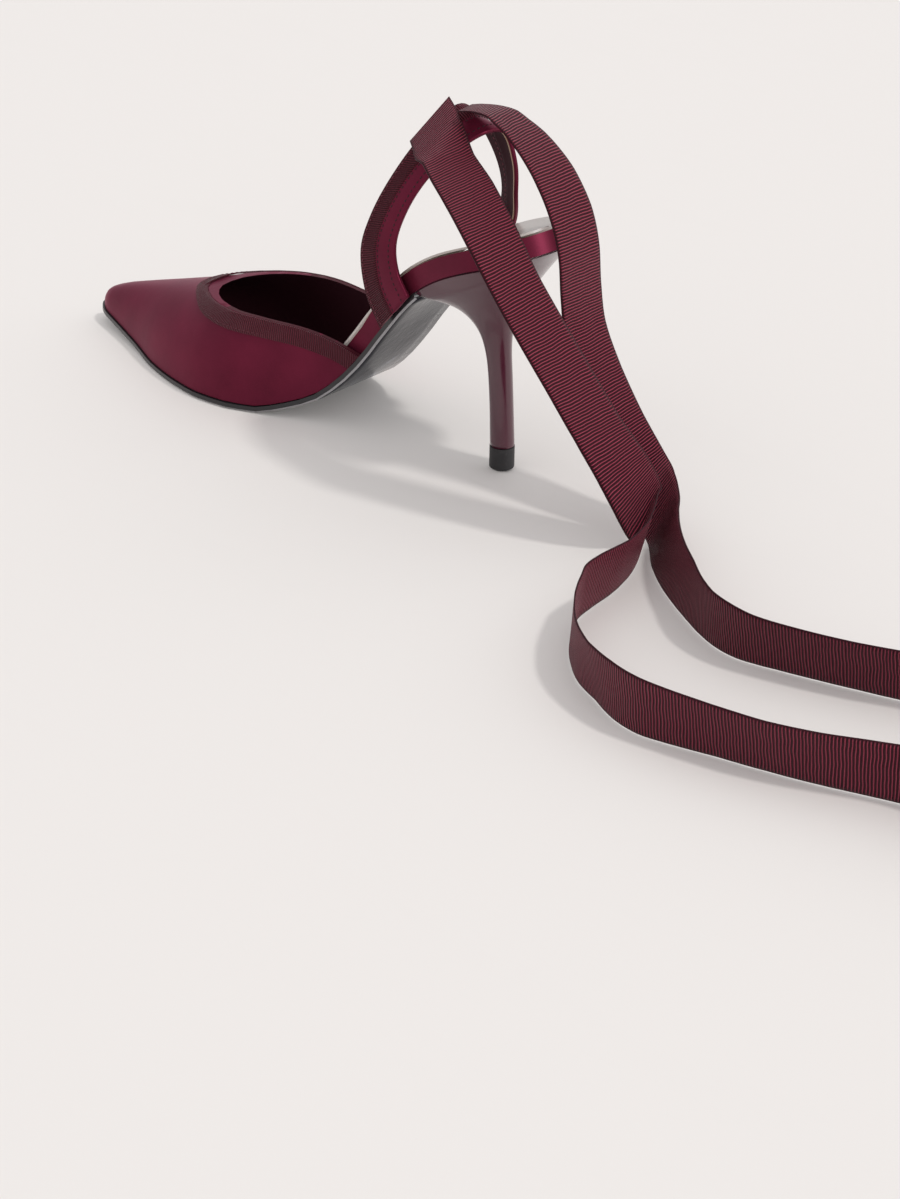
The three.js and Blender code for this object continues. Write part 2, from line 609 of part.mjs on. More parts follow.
function sling() {
  const rows = slingRows();
  const fine = 4;
  const edges = [];
  for (let k = 0; k <= (rows.length - 1) * fine; k += 1) {
    const row = blendRow(rows, k / fine);
    const edge = (out, ahead, lift) => (
      new THREE.Vector3(out * ballWidth, ahead * slingHeight, lift * slingHeight)
    );
    edges.push({
      front: edge(row.frontOut, row.frontAhead, row.frontLift),
      rear: edge(row.rearOut, row.rearAhead, row.rearLift),
    });
  }
  return loft(edges.map((edge, k) => {
    const before = edges[Math.max(0, k - 1)];
    const after = edges[Math.min(edges.length - 1, k + 1)];
    const run = new THREE.Vector3().addVectors(after.front, after.rear).sub(before.front).sub(before.rear);
    const width = new THREE.Vector3().subVectors(edge.front, edge.rear);
    const outward = new THREE.Vector3().crossVectors(run, width).normalize();
    const at = (share, high) => (
      edge.rear.clone().addScaledVector(width, share).addScaledVector(outward, high)
    );
    const step = 1 - strapBandShare;
    return [
      at(0, 0), at(0.5, 0), at(1, 0),
      at(1, strapThickness + strapBandStep), at(step + strapStepRamp, strapThickness + strapBandStep),
      at(step, strapThickness), at(0, strapThickness),
    ];
  }));
}

// The crossings of a tail on one smooth curve, each with its middle and the directions
// along, across and out of the ribbon
function crossings(rows, fine) {
  const vector = (values) => new THREE.Vector3(...values);
  const middles = [];
  const acrosses = [];
  rows.forEach((row) => {
    const low = vector(row.low);
    const across = vector(row.high).sub(low).normalize();
    acrosses.push(across);
    middles.push(low.addScaledVector(across, ribbonWidth / 2));
  });
  const line = new THREE.CatmullRomCurve3(middles, false, 'centripetal');
  const list = [];
  const count = (rows.length - 1) * fine;
  for (let k = 0; k <= count; k += 1) {
    const i = Math.min(Math.floor(k / fine), rows.length - 2);
    const t = k / fine - i;
    const middle = line.getPoint(k / count);
    const along = line.getTangent(k / count);
    const across = acrosses[i].clone().lerp(acrosses[i + 1], t);
    across.addScaledVector(along, -squareness * across.dot(along)).normalize();
    const out = new THREE.Vector3().crossVectors(along, across).normalize();
    list.push({ middle, along, across, out });
  }
  return list;
}

// A flat strip through crossings
function strip(list, width, thickness) {
  return loft(list.map(({ middle, across, out }) => {
    const corner = (side, high) => middle.clone()
      .addScaledVector(across, (side * width) / 2)
      .addScaledVector(out, (high * thickness) / 2);
    return [corner(-1, -1), corner(1, -1), corner(1, 1), corner(-1, 1)];
  }), 2);
}

// The satin cap on the end of a tail, in line with its last crossing
function endCap(list) {
  const last = list[list.length - 1];
  const at = (ahead) => ({ ...last, middle: last.middle.clone().addScaledVector(last.along, ahead) });
  return strip([at(fit), at(fit + endCapLength)], ribbonWidth, endCapThickness);
}

const materials = {
  satin: new THREE.MeshStandardMaterial({ color: 0x74203f, roughness: 0.42, metalness: 0 }),
  grosgrain: new THREE.MeshStandardMaterial({ color: 0x4a1a28, roughness: 0.75, metalness: 0 }),
  lacquer: new THREE.MeshStandardMaterial({ color: 0x4c1f30, roughness: 0.12, metalness: 0 }),
  sole: new THREE.MeshStandardMaterial({ color: 0x8d9398, roughness: 0.25, metalness: 0 }),
  rubber: new THREE.MeshStandardMaterial({ color: 0x1c1a1b, roughness: 0.6, metalness: 0 }),
  sock: new THREE.MeshStandardMaterial({ color: 0xcfcac4, roughness: 0.35, metalness: 0.2 }),
};

const shoe = new THREE.Group();

function add(name, geometry, material) {
  const mesh = new THREE.Mesh(geometry, material);
  mesh.name = name;
  shoe.add(mesh);
}

add('outsole', outsole(), materials.sole);
add('insole_board', insoleBoard(), materials.satin);
add('heel_sock', heelSock(), materials.sock);
add('vamp', vamp(), materials.satin);
add('topline_binding', toplineBinding(), materials.grosgrain);
add('heel', heel(), materials.lacquer);
add('toplift', topliftPiece(), materials.rubber);
add('sling', sling(), materials.satin);

const rearCrossings = crossings(rearTail, ribbonSteps);
const frontCrossings = crossings(frontTail, ribbonSteps);
add('ribbon_rear_tail', strip(rearCrossings, ribbonWidth, ribbonThickness), materials.grosgrain);
add('ribbon_front_tail', strip(frontCrossings, ribbonWidth, ribbonThickness), materials.grosgrain);
add('ribbon_rear_end', endCap(rearCrossings), materials.satin);
add('ribbon_front_end', endCap(frontCrossings), materials.satin);

export default shoe;
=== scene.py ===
# %% [markdown]
# A right-foot backless pump: a pointed satin vamp, open sides, a slim lacquered heel, and a
# sling behind the ankle that carries a long grosgrain tie ribbon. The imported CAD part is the
# fixed frame of this scene. Every piece here is dressed in that same frame, in metres, with
# +Y from the heel to the toe, +X to the outer side of the foot and +Z up.

# %% Kit and frame
import math

import bmesh
import bpy
from mathutils import Matrix, Vector
from mathutils.bvhtree import BVHTree


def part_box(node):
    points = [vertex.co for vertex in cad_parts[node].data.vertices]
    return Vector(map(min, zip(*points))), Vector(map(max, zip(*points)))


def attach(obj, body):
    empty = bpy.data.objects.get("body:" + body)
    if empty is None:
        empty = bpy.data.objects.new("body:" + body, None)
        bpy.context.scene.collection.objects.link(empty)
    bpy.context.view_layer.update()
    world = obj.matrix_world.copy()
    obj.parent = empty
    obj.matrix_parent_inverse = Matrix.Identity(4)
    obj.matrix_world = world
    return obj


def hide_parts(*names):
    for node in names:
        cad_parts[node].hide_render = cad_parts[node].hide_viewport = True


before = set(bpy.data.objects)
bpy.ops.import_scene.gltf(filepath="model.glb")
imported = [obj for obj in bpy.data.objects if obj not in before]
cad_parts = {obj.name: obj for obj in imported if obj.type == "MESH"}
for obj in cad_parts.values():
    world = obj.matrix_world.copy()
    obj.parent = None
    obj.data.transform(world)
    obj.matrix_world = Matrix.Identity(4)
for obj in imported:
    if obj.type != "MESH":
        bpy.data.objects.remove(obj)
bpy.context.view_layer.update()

# %% [markdown]
# The camera comes first, because the picture is seen through it. It stands behind the inner side
# of the shoe, well above the sling. A long lens keeps the heel and the ribbon from bulging. Its
# place, the way it looks and its level direction are plain vectors, so that nothing has to be
# aimed or tracked, and a small roll tilts the camera.

# %% Camera
photo_height = 1199
focal_pixels = 2617
film_size = 36
camera_place = Vector((-0.6728, -0.5626, 0.4174))
look = Vector((0.6629, 0.5785, -0.4752)).normalized()
level = Vector((0.6575, -0.7534, 0)).normalized()
roll = math.radians(0.76)
above = level.cross(look)
right = level * math.cos(roll) + above * math.sin(roll)
up = above * math.cos(roll) - level * math.sin(roll)
camera_data = bpy.data.cameras.new("camera")
camera_data.sensor_fit = "VERTICAL"
camera_data.sensor_width = film_size
camera_data.sensor_height = film_size
camera_data.lens = film_size * focal_pixels / photo_height
camera = bpy.data.objects.new("camera", camera_data)
turned = Matrix((right, up, -look)).transposed().to_4x4()
camera.matrix_world = Matrix.Translation(camera_place) @ turned
bpy.context.scene.collection.objects.link(camera)
bpy.context.scene.camera = camera
print("lens", round(camera_data.lens, 2), "mm")

# %% [markdown]
# Small helpers are made once. A flat piece such as a ribbon or a strap starts as a grid, and
# each of its points is then carried to its place: the share across the piece and the share
# along it say where. The same two shares, in metres, become its UV map, so that a weave runs
# along the piece wherever it bends.

# %% Helpers for pieces
def new_piece(name, mesh):
    data = bpy.data.meshes.new(name)
    mesh.to_mesh(data)
    mesh.free()
    piece = bpy.data.objects.new(name, data)
    bpy.context.scene.collection.objects.link(piece)
    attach(piece, "root")
    return piece


def laid_grid(across_steps, along_steps, place, width, length):
    """A grid whose point at (share across, share along) is put at place(across, along)."""
    mesh = bmesh.new()
    bmesh.ops.create_grid(mesh, x_segments=across_steps, y_segments=along_steps, size=0.5)
    uv = mesh.loops.layers.uv.new("weave")
    for face in mesh.faces:
        for loop in face.loops:
            at = loop.vert.co
            loop[uv].uv = ((at.x + 0.5) * width, (at.y + 0.5) * length)
    for vert in mesh.verts:
        vert.co = place(vert.co.x + 0.5, vert.co.y + 0.5)
    return mesh


def smooth_shade(piece, sharp):
    """Smooth shading, with edges above an angle in degrees left sharp."""
    data = piece.data
    data.polygons.foreach_set("use_smooth", [True] * len(data.polygons))
    data.set_sharp_from_angle(angle=math.radians(sharp))


def between(points, fine):
    """Points on one smooth curve through the given ones, fine steps between each pair.

    The knots follow the distances, so the curve makes no loops where points lie close.
    """
    padded = [2 * points[0] - points[1], *points, 2 * points[-1] - points[-2]]
    curve = []
    for i in range(1, len(padded) - 2):
        before, start, end, after = padded[i - 1:i + 3]
        knots = [0.0]
        for a, b in ((before, start), (start, end), (end, after)):
            knots.append(knots[-1] + max((b - a).length, 1e-6) ** 0.5)
        for k in range(fine + (i == len(padded) - 3)):
            t = knots[1] + (knots[2] - knots[1]) * k / fine
            first = before.lerp(start, (t - knots[0]) / (knots[1] - knots[0]))
            second = start.lerp(end, (t - knots[1]) / (knots[2] - knots[1]))
            third = end.lerp(after, (t - knots[2]) / (knots[3] - knots[2]))
            left = first.lerp(second, (t - knots[0]) / (knots[2] - knots[0]))
            other = second.lerp(third, (t - knots[1]) / (knots[3] - knots[1]))
            curve.append(left.lerp(other, (t - knots[1]) / (knots[2] - knots[1])))
    return curve


def run_of(points):
    """How far along the line each point lies, in metres."""
    runs = [0.0]
    for a, b in zip(points, points[1:]):
        runs.append(runs[-1] + (b - a).length)
    return runs


def along_line(points, share):
    """A point of a line of evenly counted points, at a share of that count."""
    at = min(max(share, 0.0), 1.0) * (len(points) - 1)
    i = min(int(at), len(points) - 2)
    return points[i].lerp(points[i + 1], at - i)


print("helpers ready")

# %% [markdown]
# The tie is one grosgrain ribbon tacked to the top of the sling, so it has two tails. Each tail
# hangs from the tack, meets the floor behind the heel, and then stands on its edge in slow bends.
# A cloth simulation would slump such a ribbon flat, so the bends are listed one by one. A row
# below is one crossing of the ribbon: the edge that ends on the floor, and a point towards the
# other edge. The weave comes later, from the material.

# %% Ribbon routes
rear_tail_rows = [
    ((-0.0101, 0.0138, 0.1352), (0.0079, 0.0256, 0.1308)),
    ((-0.0103, 0.0077, 0.1365), (0.0078, 0.0196, 0.1324)),
    ((-0.0110, 0.0006, 0.1365), (0.0085, 0.0103, 0.1335)),
    ((-0.0110, -0.0036, 0.1342), (0.0092, 0.0050, 0.1332)),
    ((-0.0110, -0.0072, 0.1322), (0.0098, -0.0001, 0.1310)),
    ((-0.0110, -0.0118, 0.1284), (0.0104, -0.0066, 0.1280)),
    ((-0.0110, -0.0164, 0.1240), (0.0108, -0.0132, 0.1236)),
    ((-0.0110, -0.0220, 0.1171), (0.0109, -0.0205, 0.1173)),
    ((-0.0110, -0.0285, 0.1060), (0.0110, -0.0285, 0.1060)),
    ((-0.0110, -0.0325, 0.0940), (0.0110, -0.0325, 0.0940)),
    ((-0.0110, -0.0342, 0.0790), (0.0110, -0.0342, 0.0790)),
    ((-0.0112, -0.0370, 0.0640), (0.0108, -0.0370, 0.0655)),
    ((-0.0120, -0.0445, 0.0480), (0.0095, -0.0455, 0.0510)),
    ((-0.0135, -0.0545, 0.0310), (0.0065, -0.0580, 0.0370)),
    ((-0.0125, -0.0645, 0.0150), (0.0040, -0.0690, 0.0260)),
    ((-0.0110, -0.0725, 0.0050), (0.0000, -0.0775, 0.0225)),
    ((-0.0142, -0.0795, 0.0006), (-0.0071, -0.0860, 0.0200)),
    ((-0.0262, -0.0903, 0.0005), (-0.0201, -0.0955, 0.0202)),
    ((-0.0354, -0.1012, 0.0005), (-0.0311, -0.1047, 0.0212)),
    ((-0.0423, -0.1114, 0.0005), (-0.0396, -0.1132, 0.0218)),
    ((-0.0485, -0.1218, 0.0005), (-0.0474, -0.1224, 0.0220)),
    ((-0.0537, -0.1316, 0.0005), (-0.0549, -0.1312, 0.0220)),
    ((-0.0571, -0.1407, 0.0005), (-0.0603, -0.1399, 0.0218)),
    ((-0.0582, -0.1489, 0.0005), (-0.0628, -0.1489, 0.0214)),
    ((-0.0572, -0.1559, 0.0005), (-0.0634, -0.1570, 0.0210)),
    ((-0.0555, -0.1630, 0.0005), (-0.0624, -0.1644, 0.0208)),
    ((-0.0522, -0.1763, 0.0005), (-0.0594, -0.1781, 0.0208)),
    ((-0.0486, -0.1894, 0.0005), (-0.0557, -0.1913, 0.0208)),
    ((-0.0449, -0.2024, 0.0005), (-0.0513, -0.2041, 0.0210)),
    ((-0.0406, -0.2170, 0.0005), (-0.0456, -0.2180, 0.0214)),
    ((-0.0377, -0.2320, 0.0005), (-0.0410, -0.2323, 0.0216)),
    ((-0.0376, -0.2475, 0.0005), (-0.0396, -0.2472, 0.0218)),
    ((-0.0410, -0.2625, 0.0005), (-0.0416, -0.2622, 0.0220)),
    ((-0.0475, -0.2760, 0.0005), (-0.0472, -0.2762, 0.0220)),
    ((-0.0565, -0.2880, 0.0005), (-0.0558, -0.2885, 0.0220)),
    ((-0.0670, -0.2980, 0.0005), (-0.0663, -0.2988, 0.0220)),
]
front_tail_rows = [
    ((-0.0185, 0.0289, 0.1229), (-0.0003, 0.0286, 0.1352)),
    ((-0.0230, 0.0235, 0.1220), (-0.0044, 0.0218, 0.1336)),
    ((-0.0278, 0.0183, 0.1211), (-0.0085, 0.0156, 0.1312)),
    ((-0.0318, 0.0111, 0.1218), (-0.0103, 0.0111, 0.1266)),
    ((-0.0347, 0.0058, 0.1195), (-0.0129, 0.0056, 0.1227)),
    ((-0.0389, -0.0052, 0.1131), (-0.0175, -0.0069, 0.1169)),
    ((-0.0433, -0.0190, 0.1030), (-0.0218, -0.0211, 0.1062)),
    ((-0.0424, -0.0304, 0.0872), (-0.0208, -0.0314, 0.0900)),
    ((-0.0410, -0.0397, 0.0745), (-0.0194, -0.0410, 0.0770)),
    ((-0.0385, -0.0509, 0.0587), (-0.0170, -0.0527, 0.0606)),
    ((-0.0355, -0.0618, 0.0423), (-0.0138, -0.0644, 0.0440)),
    ((-0.0320, -0.0690, 0.0290), (-0.0114, -0.0716, 0.0346)),
    ((-0.0274, -0.0736, 0.0164), (-0.0094, -0.0756, 0.0280)),
    ((-0.0216, -0.0758, 0.0056), (-0.0086, -0.0780, 0.0234)),
    ((-0.0184, -0.0776, 0.0009), (-0.0114, -0.0804, 0.0216)),
    ((-0.0196, -0.0800, 0.0005), (-0.0172, -0.0840, 0.0212)),
    ((-0.0260, -0.0838, 0.0005), (-0.0246, -0.0886, 0.0212)),
    ((-0.0351, -0.0879, 0.0005), (-0.0332, -0.0930, 0.0212)),
    ((-0.0430, -0.0903, 0.0005), (-0.0416, -0.0956, 0.0213)),
    ((-0.0504, -0.0919, 0.0005), (-0.0498, -0.0972, 0.0215)),
    ((-0.0641, -0.0934, 0.0005), (-0.0640, -0.0971, 0.0216)),
    ((-0.0730, -0.0950, 0.0005), (-0.0730, -0.0982, 0.0218)),
    ((-0.0805, -0.0994, 0.0005), (-0.0798, -0.1016, 0.0220)),
    ((-0.0880, -0.1042, 0.0005), (-0.0872, -0.1056, 0.0220)),
    ((-0.0950, -0.1100, 0.0005), (-0.0946, -0.1106, 0.0220)),
    ((-0.1042, -0.1206, 0.0005), (-0.1055, -0.1202, 0.0220)),
    ((-0.1098, -0.1325, 0.0005), (-0.1130, -0.1308, 0.0220)),
    ((-0.1153, -0.1443, 0.0005), (-0.1178, -0.1435, 0.0220)),
    ((-0.1170, -0.1546, 0.0005), (-0.1200, -0.1546, 0.0220)),
    ((-0.1156, -0.1634, 0.0005), (-0.1197, -0.1642, 0.0220)),
    ((-0.1114, -0.1800, 0.0005), (-0.1172, -0.1814, 0.0214)),
    ((-0.1076, -0.1966, 0.0005), (-0.1140, -0.1984, 0.0212)),
    ((-0.1033, -0.2125, 0.0005), (-0.1089, -0.2143, 0.0214)),
    ((-0.0983, -0.2278, 0.0005), (-0.1024, -0.2290, 0.0216)),
    ((-0.0946, -0.2405, 0.0005), (-0.0974, -0.2412, 0.0218)),
    ((-0.0934, -0.2530, 0.0005), (-0.0950, -0.2530, 0.0220)),
    ((-0.0956, -0.2655, 0.0005), (-0.0958, -0.2652, 0.0220)),
    ((-0.1015, -0.2770, 0.0005), (-0.1010, -0.2772, 0.0220)),
]
print("crossings", len(rear_tail_rows), "and", len(front_tail_rows))

# %% [markdown]
# A smooth curve runs through the middles of the crossings, and between two of them the way
# across turns evenly, which gives the ribbon its twist. The crossings are squared up to the
# curve only a little, because a full squaring makes the edge jagged in the tight bend near
# the floor. The grid gets its thickness from a Solidify modifier, half to each side, and the
# last point is pushed on a little, so that the end is tucked into its cap.

# %% Ribbon tails
ribbon_width = 0.022
ribbon_thickness = 0.0005
ribbon_cells = 10
ribbon_fine = 6
tucked_in = 0.0006
squareness = 0.2


def crossings(rows):
    """The middle of each crossing, and the way across it."""
    middles = []
    acrosses = []
    for low, high in rows:
        across = (Vector(high) - Vector(low)).normalized()
        acrosses.append(across)
        middles.append(Vector(low) + across * ribbon_width / 2)
    return middles, acrosses


def ribbon_line(rows):
    """The ribbon's middle line, and the way across it at each of its points."""
    middles, acrosses = crossings(rows)
    line = between(middles, ribbon_fine)
    sides = []
    for k in range(len(line)):
        i = min(k // ribbon_fine, len(rows) - 2)
        ahead = line[min(k + ribbon_fine, len(line) - 1)] - line[max(k - ribbon_fine, 0)]
        ahead.normalize()
        across = acrosses[i].lerp(acrosses[i + 1], k / ribbon_fine - i)
        across = (across - ahead * squareness * across.dot(ahead)).normalized()
        sides.append(across)
    return line, sides


def ribbon_tail(name, rows):
    line, sides = ribbon_line(rows)
    length = run_of(line)[-1]
    line[-1] += (line[-1] - line[-2]).normalized() * tucked_in

    def place(across, along):
        middle = along_line(line, along)
        side = along_line(sides, along).normalized()
        return middle + side * (across - 0.5) * ribbon_width

    runs = run_of(line)
    mesh = laid_grid(ribbon_cells, len(line) - 1, place, ribbon_width, 1)
    uv = mesh.loops.layers.uv["weave"]
    for face in mesh.faces:
        for loop in face.loops:
            loop[uv].uv[1] = runs[round(loop[uv].uv[1] * (len(line) - 1))]
    piece = new_piece(name, mesh)
    smooth_shade(piece, 80)
    solid = piece.modifiers.new("thickness", "SOLIDIFY")
    solid.thickness = ribbon_thickness
    solid.offset = 0
    print(name, "length", round(length, 4))
    return piece, length


rear_tail, rear_length = ribbon_tail("rear_tail", rear_tail_rows)
front_tail, front_length = ribbon_tail("front_tail", front_tail_rows)

# %% [markdown]
# A real end of such a tie is folded into a little satin cap, so that it can't fray, and sewn
# shut along its inner edge. The CAD caps already have the right place and size. Each is
# copied, its doubles are merged, its edges are rounded with a bevel, and its faces are
# divided so that the cloth can puff up a little between the seams.

# %% End caps
merge_reach = 0.00002
cap_rounding = 0.0003
cap_puff = 0.0002
cap_reach = 0.013
cap_long_edge = 0.004
cap_length = 0.0143


def merged_copy(node):
    """A CAD node's triangles, with its doubles merged, and without its own UV maps."""
    mesh = bmesh.new()
    mesh.from_mesh(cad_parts[node].data)
    bmesh.ops.remove_doubles(mesh, verts=mesh.verts, dist=merge_reach)
    for layer in list(mesh.loops.layers.uv.values()):
        mesh.loops.layers.uv.remove(layer)
    return mesh


def cloth_cap(name, node):
    mesh = merged_copy(node)
    bmesh.ops.join_triangles(
        mesh, faces=mesh.faces, angle_face_threshold=0.6, angle_shape_threshold=1.2
    )
    bmesh.ops.bevel(
        mesh,
        geom=mesh.edges,
        affect="EDGES",
        offset=cap_rounding,
        segments=2,
        profile=0.5,
        material=-1,
    )
    long_edges = [edge for edge in mesh.edges if edge.calc_length() > cap_long_edge]
    bmesh.ops.subdivide_edges(mesh, edges=long_edges, cuts=7, use_grid_fill=True)
    middle = sum((vert.co for vert in mesh.verts), Vector()) / len(mesh.verts)
    bmesh.ops.recalc_face_normals(mesh, faces=mesh.faces)
    for vert in mesh.verts:
        reach = (vert.co - middle).length / cap_reach
        vert.co += vert.normal * cap_puff * max(0.0, 1 - reach * reach)
    piece = new_piece(name, mesh)
    smooth_shade(piece, 50)
    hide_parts(node)
    return piece


rear_cap = cloth_cap("rear_tail_cap", "ribbon_rear_end")
front_cap = cloth_cap("front_tail_cap", "ribbon_front_end")
print("caps made", len(rear_cap.data.polygons), "faces each")

# %% [markdown]
# A ribbon is soft goods: each tail is limp, of a known length, fixed at the tack, with its cap at
# its far end. Here each tail's CAD node is hidden, and its length with the cap is printed. Its
# path is the row of middles that the curve was drawn through.

# %% Ribbon tails and their lengths
tails = (
    (rear_tail, rear_tail_rows, rear_length, rear_cap, "ribbon_rear_tail"),
    (front_tail, front_tail_rows, front_length, front_cap, "ribbon_front_tail"),
)
for tail, rows, length, cap, node in tails:
    path = crossings(rows)[0]
    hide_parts(node)
    print(tail.name, "with its cap", round(length + cap_length, 3), "m")

# %% [markdown]
# The sling is one band cut from satin over a lining: it leaves the waist of the shoe on the
# inner side, rises behind the ankle and comes down on the outer side. Its front edge is bound
# with a strip of grosgrain. A row gives its front and its rear edge, as in the CAD part: how
# far ahead and how high, as shares of the sling's height, and how far out, as a share of the
# shoe's width.

# %% Sling rows
shoe_width = 0.071
sling_height = 0.134
sling_fine = 8
sling_rows = [
    ((0.328, 0.366, -0.236), (0.213, 0.489, -0.276)),
    ((0.366, 0.456, -0.262), (0.246, 0.549, -0.285)),
    ((0.372, 0.590, -0.290), (0.256, 0.625, -0.285)),
    ((0.340, 0.690, -0.282), (0.226, 0.726, -0.262)),
    ((0.290, 0.800, -0.232), (0.176, 0.822, -0.206)),
    ((0.235, 0.905, -0.140), (0.120, 0.895, -0.118)),
    ((0.186, 0.981, 0.000), (0.080, 0.934, 0.000)),
    ((0.205, 0.906, 0.212), (0.078, 0.920, 0.132)),
    ((0.179, 0.797, 0.300), (0.063, 0.836, 0.179)),
    ((0.179, 0.710, 0.339), (0.067, 0.746, 0.198)),
    ((0.222, 0.600, 0.376), (0.104, 0.655, 0.280)),
    ((0.290, 0.480, 0.352), (0.165, 0.560, 0.338)),
    ((0.328, 0.366, 0.326), (0.213, 0.489, 0.318)),
]


def sling_line(edge):
    """A smooth curve through the sling's front edge, 0, or its rear edge, 1."""
    points = []
    for row in sling_rows:
        ahead, high, aside = row[edge]
        points.append(Vector((aside * shoe_width, ahead * sling_height, high * sling_height)))
    return between(points, sling_fine)


sling_front = sling_line(0)
sling_rear = sling_line(1)
sling_middle = [(a + b) / 2 for a, b in zip(sling_front, sling_rear)]
sling_length = run_of(sling_middle)[-1]
print("sling run", round(sling_length, 3), "m")

# %% [markdown]
# The cloth is a grid between the two edges, raised a little along the middle, as padded satin
# is, and raised more where the grosgrain lies on it. Its faces are sorted by the share across:
# grosgrain in front, a narrow hem at the rear, satin between. The wall comes from a Solidify
# modifier later on, when the finishes are known, because its material offset turns the inside
# into lining, with a tan hem along the rear edge.

# %% Sling
sling_cells = 24
sling_width = 0.016
sling_wall = 0.0016
sling_crown = 0.0003
band_step = 0.0006
band_share = 0.45
step_share = 0.02
hem_share = 0.08


def sling_outward(share):
    """The way out of the sling, away from the ankle, at a share of its length."""
    step = 1 / (len(sling_middle) - 1)
    run = along_line(sling_middle, share + step) - along_line(sling_middle, share - step)
    width = along_line(sling_front, share) - along_line(sling_rear, share)
    return run.cross(width).normalized()


def padding_at(across):
    """How far the outside stands off the lining, at a share of the width."""
    edge = 1 - band_share
    t = min(max((across - edge + step_share) / (2 * step_share), 0), 1)
    crown = sling_crown * math.sin(math.pi * min(across / edge, 1))
    return sling_wall + band_step * t * t * (3 - 2 * t) + crown


def on_sling(across, share, lift=0.0):
    rear = along_line(sling_rear, share)
    front = along_line(sling_front, share)
    out = sling_outward(share)
    return rear.lerp(front, across) + out * (padding_at(across) + lift)


sling_steps = len(sling_middle) - 1
sling_mesh = laid_grid(sling_cells, sling_steps, on_sling, sling_width, sling_length)
sling_uv = sling_mesh.loops.layers.uv["weave"]
for face in sling_mesh.faces:
    across = sum(loop[sling_uv].uv[0] for loop in face.loops)
    across /= len(face.loops) * sling_width
    face.material_index = 1 if across > 1 - band_share else 2 * (across < hem_share)
sling_mesh.normal_update()
outside = sling_mesh.faces[:][len(sling_mesh.faces) // 2]
if outside.normal.dot(sling_outward(0.5)) < 0:
    bmesh.ops.reverse_faces(sling_mesh, faces=sling_mesh.faces)
sling_piece = new_piece("sling_band", sling_mesh)
smooth_shade(sling_piece, 60)
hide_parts("sling")
print("sling faces", len(sling_piece.data.polygons))

# %% [markdown]
# The vamp, its bound topline, the rand that covers the board, the sock, the heel, its top
# piece and the outsole keep the CAD part's shapes. A copy of each node is merged, and its
# triangles are joined back to quads. Edges sharper than an angle are creased and stay crisp,
# the rest is shaded smooth, and a light subdivision can round the silhouette. A sorting
# function may tell which of the piece's materials each face wears.

# %% Dressed copies
def dressed(name, node, sort=None, sharp=38, levels=0):
    mesh = merged_copy(node)
    bmesh.ops.join_triangles(
        mesh, faces=mesh.faces, angle_face_threshold=0.35, angle_shape_threshold=0.9
    )
    mesh.normal_update()
    crease = mesh.edges.layers.float.new("crease_edge")
    for edge in mesh.edges:
        if len(edge.link_faces) == 2 and edge.calc_face_angle(0) > math.radians(sharp):
            edge[crease] = 1
    if sort:
        for face in mesh.faces:
            face.material_index = sort(face.calc_center_median(), face.normal)
    piece = new_piece(name, mesh)
    smooth_shade(piece, sharp)
    if levels:
        smooth = piece.modifiers.new("rounding", "SUBSURF")
        smooth.levels = levels
        smooth.render_levels = levels
    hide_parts(node)
    return piece


print("dressing ready")

# %% [markdown]
# A real vamp is satin over a lining, closed over the toes and open behind them. Its faces are
# told apart by where they face: away from an axis through the shoe is satin, towards it is
# lining. The cut edge of the opening, where the binding folds over, is found as the sharp
# edges near the top, and the faces beside it are grosgrain.

# %% Vamp and its rim
vamp_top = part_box("vamp")[1].z
toe_start = 0.12
toe_axis = 0.004
axis_share = 0.35
opening_front = 0.151
rim_low = 0.026
rim_reach = 0.0022
edge_front = 0.152
edge_low = 0.028
edge_angle = 0.9


def vamp_part(centre, normal):
    """0 satin outside, 1 lining inside, 2 grosgrain where the binding folds over the rim."""
    axis_height = toe_axis + axis_share * vamp_top * (centre.y < toe_start)
    outward = Vector((centre.x, 0, centre.z - axis_height))
    facing = normal.dot(outward.normalized())
    turned_up = abs(normal.x) < 0.3 and (normal.y < -0.5 or normal.z > 0.5)
    rim = turned_up and centre.z > rim_low and centre.y < opening_front
    if rim and abs(facing) < 0.75 and is_rim(centre):
        return 2
    return 0 if facing > 0 else 1


def is_rim(centre):
    """Whether a point lies on the cut edge that the foot goes in through."""
    return any((centre - point).length < rim_reach for point in rim_points)


rim_points = []
vamp_raw = merged_copy("vamp")
vamp_raw.normal_update()
for edge in vamp_raw.edges:
    if len(edge.link_faces) != 2 or edge.calc_face_angle(0) < edge_angle:
        continue
    middle = (edge.verts[0].co + edge.verts[1].co) / 2
    if middle.z > edge_low and middle.y < edge_front:
        rim_points.append(middle)
vamp_raw.free()
vamp_piece = dressed("vamp_satin", "vamp", vamp_part)
print("rim points", len(rim_points))

# %% [markdown]
# The opening is bound with a strip of grosgrain, which a maker eases round the throat, so
# that the throat ends up round. The CAD binding has corners there. Its points near the throat
# are therefore drawn back a little, most at the corners and not at all in the middle, and
# raised to stay on the satin.

# %% Topline binding
throat_start = 0.148
throat_fade = 0.004
throat_half = 0.0085
throat_round = 0.0022
vamp_slope = 0.25
binding_piece = dressed("topline_grosgrain", "topline_binding")
for vert in binding_piece.data.vertices:
    aside = min(abs(vert.co.x) / throat_half, 1)
    fade = 1 - min(max(abs(vert.co.x) - throat_half, 0) / throat_half, 1)
    ahead = min(max((vert.co.y - throat_start) / throat_fade, 0), 1)
    pulled = throat_round * aside * aside * fade * ahead
    vert.co.y -= pulled
    vert.co.z += vamp_slope * pulled
print("binding points", len(binding_piece.data.vertices))

# %% [markdown]
# The ribs of the strip run across it all the way round, so the binding needs a UV map that
# follows it. A curve drawn over the opening, as seen from above, gives each point its run
# along the strip, and its height gives the place across.

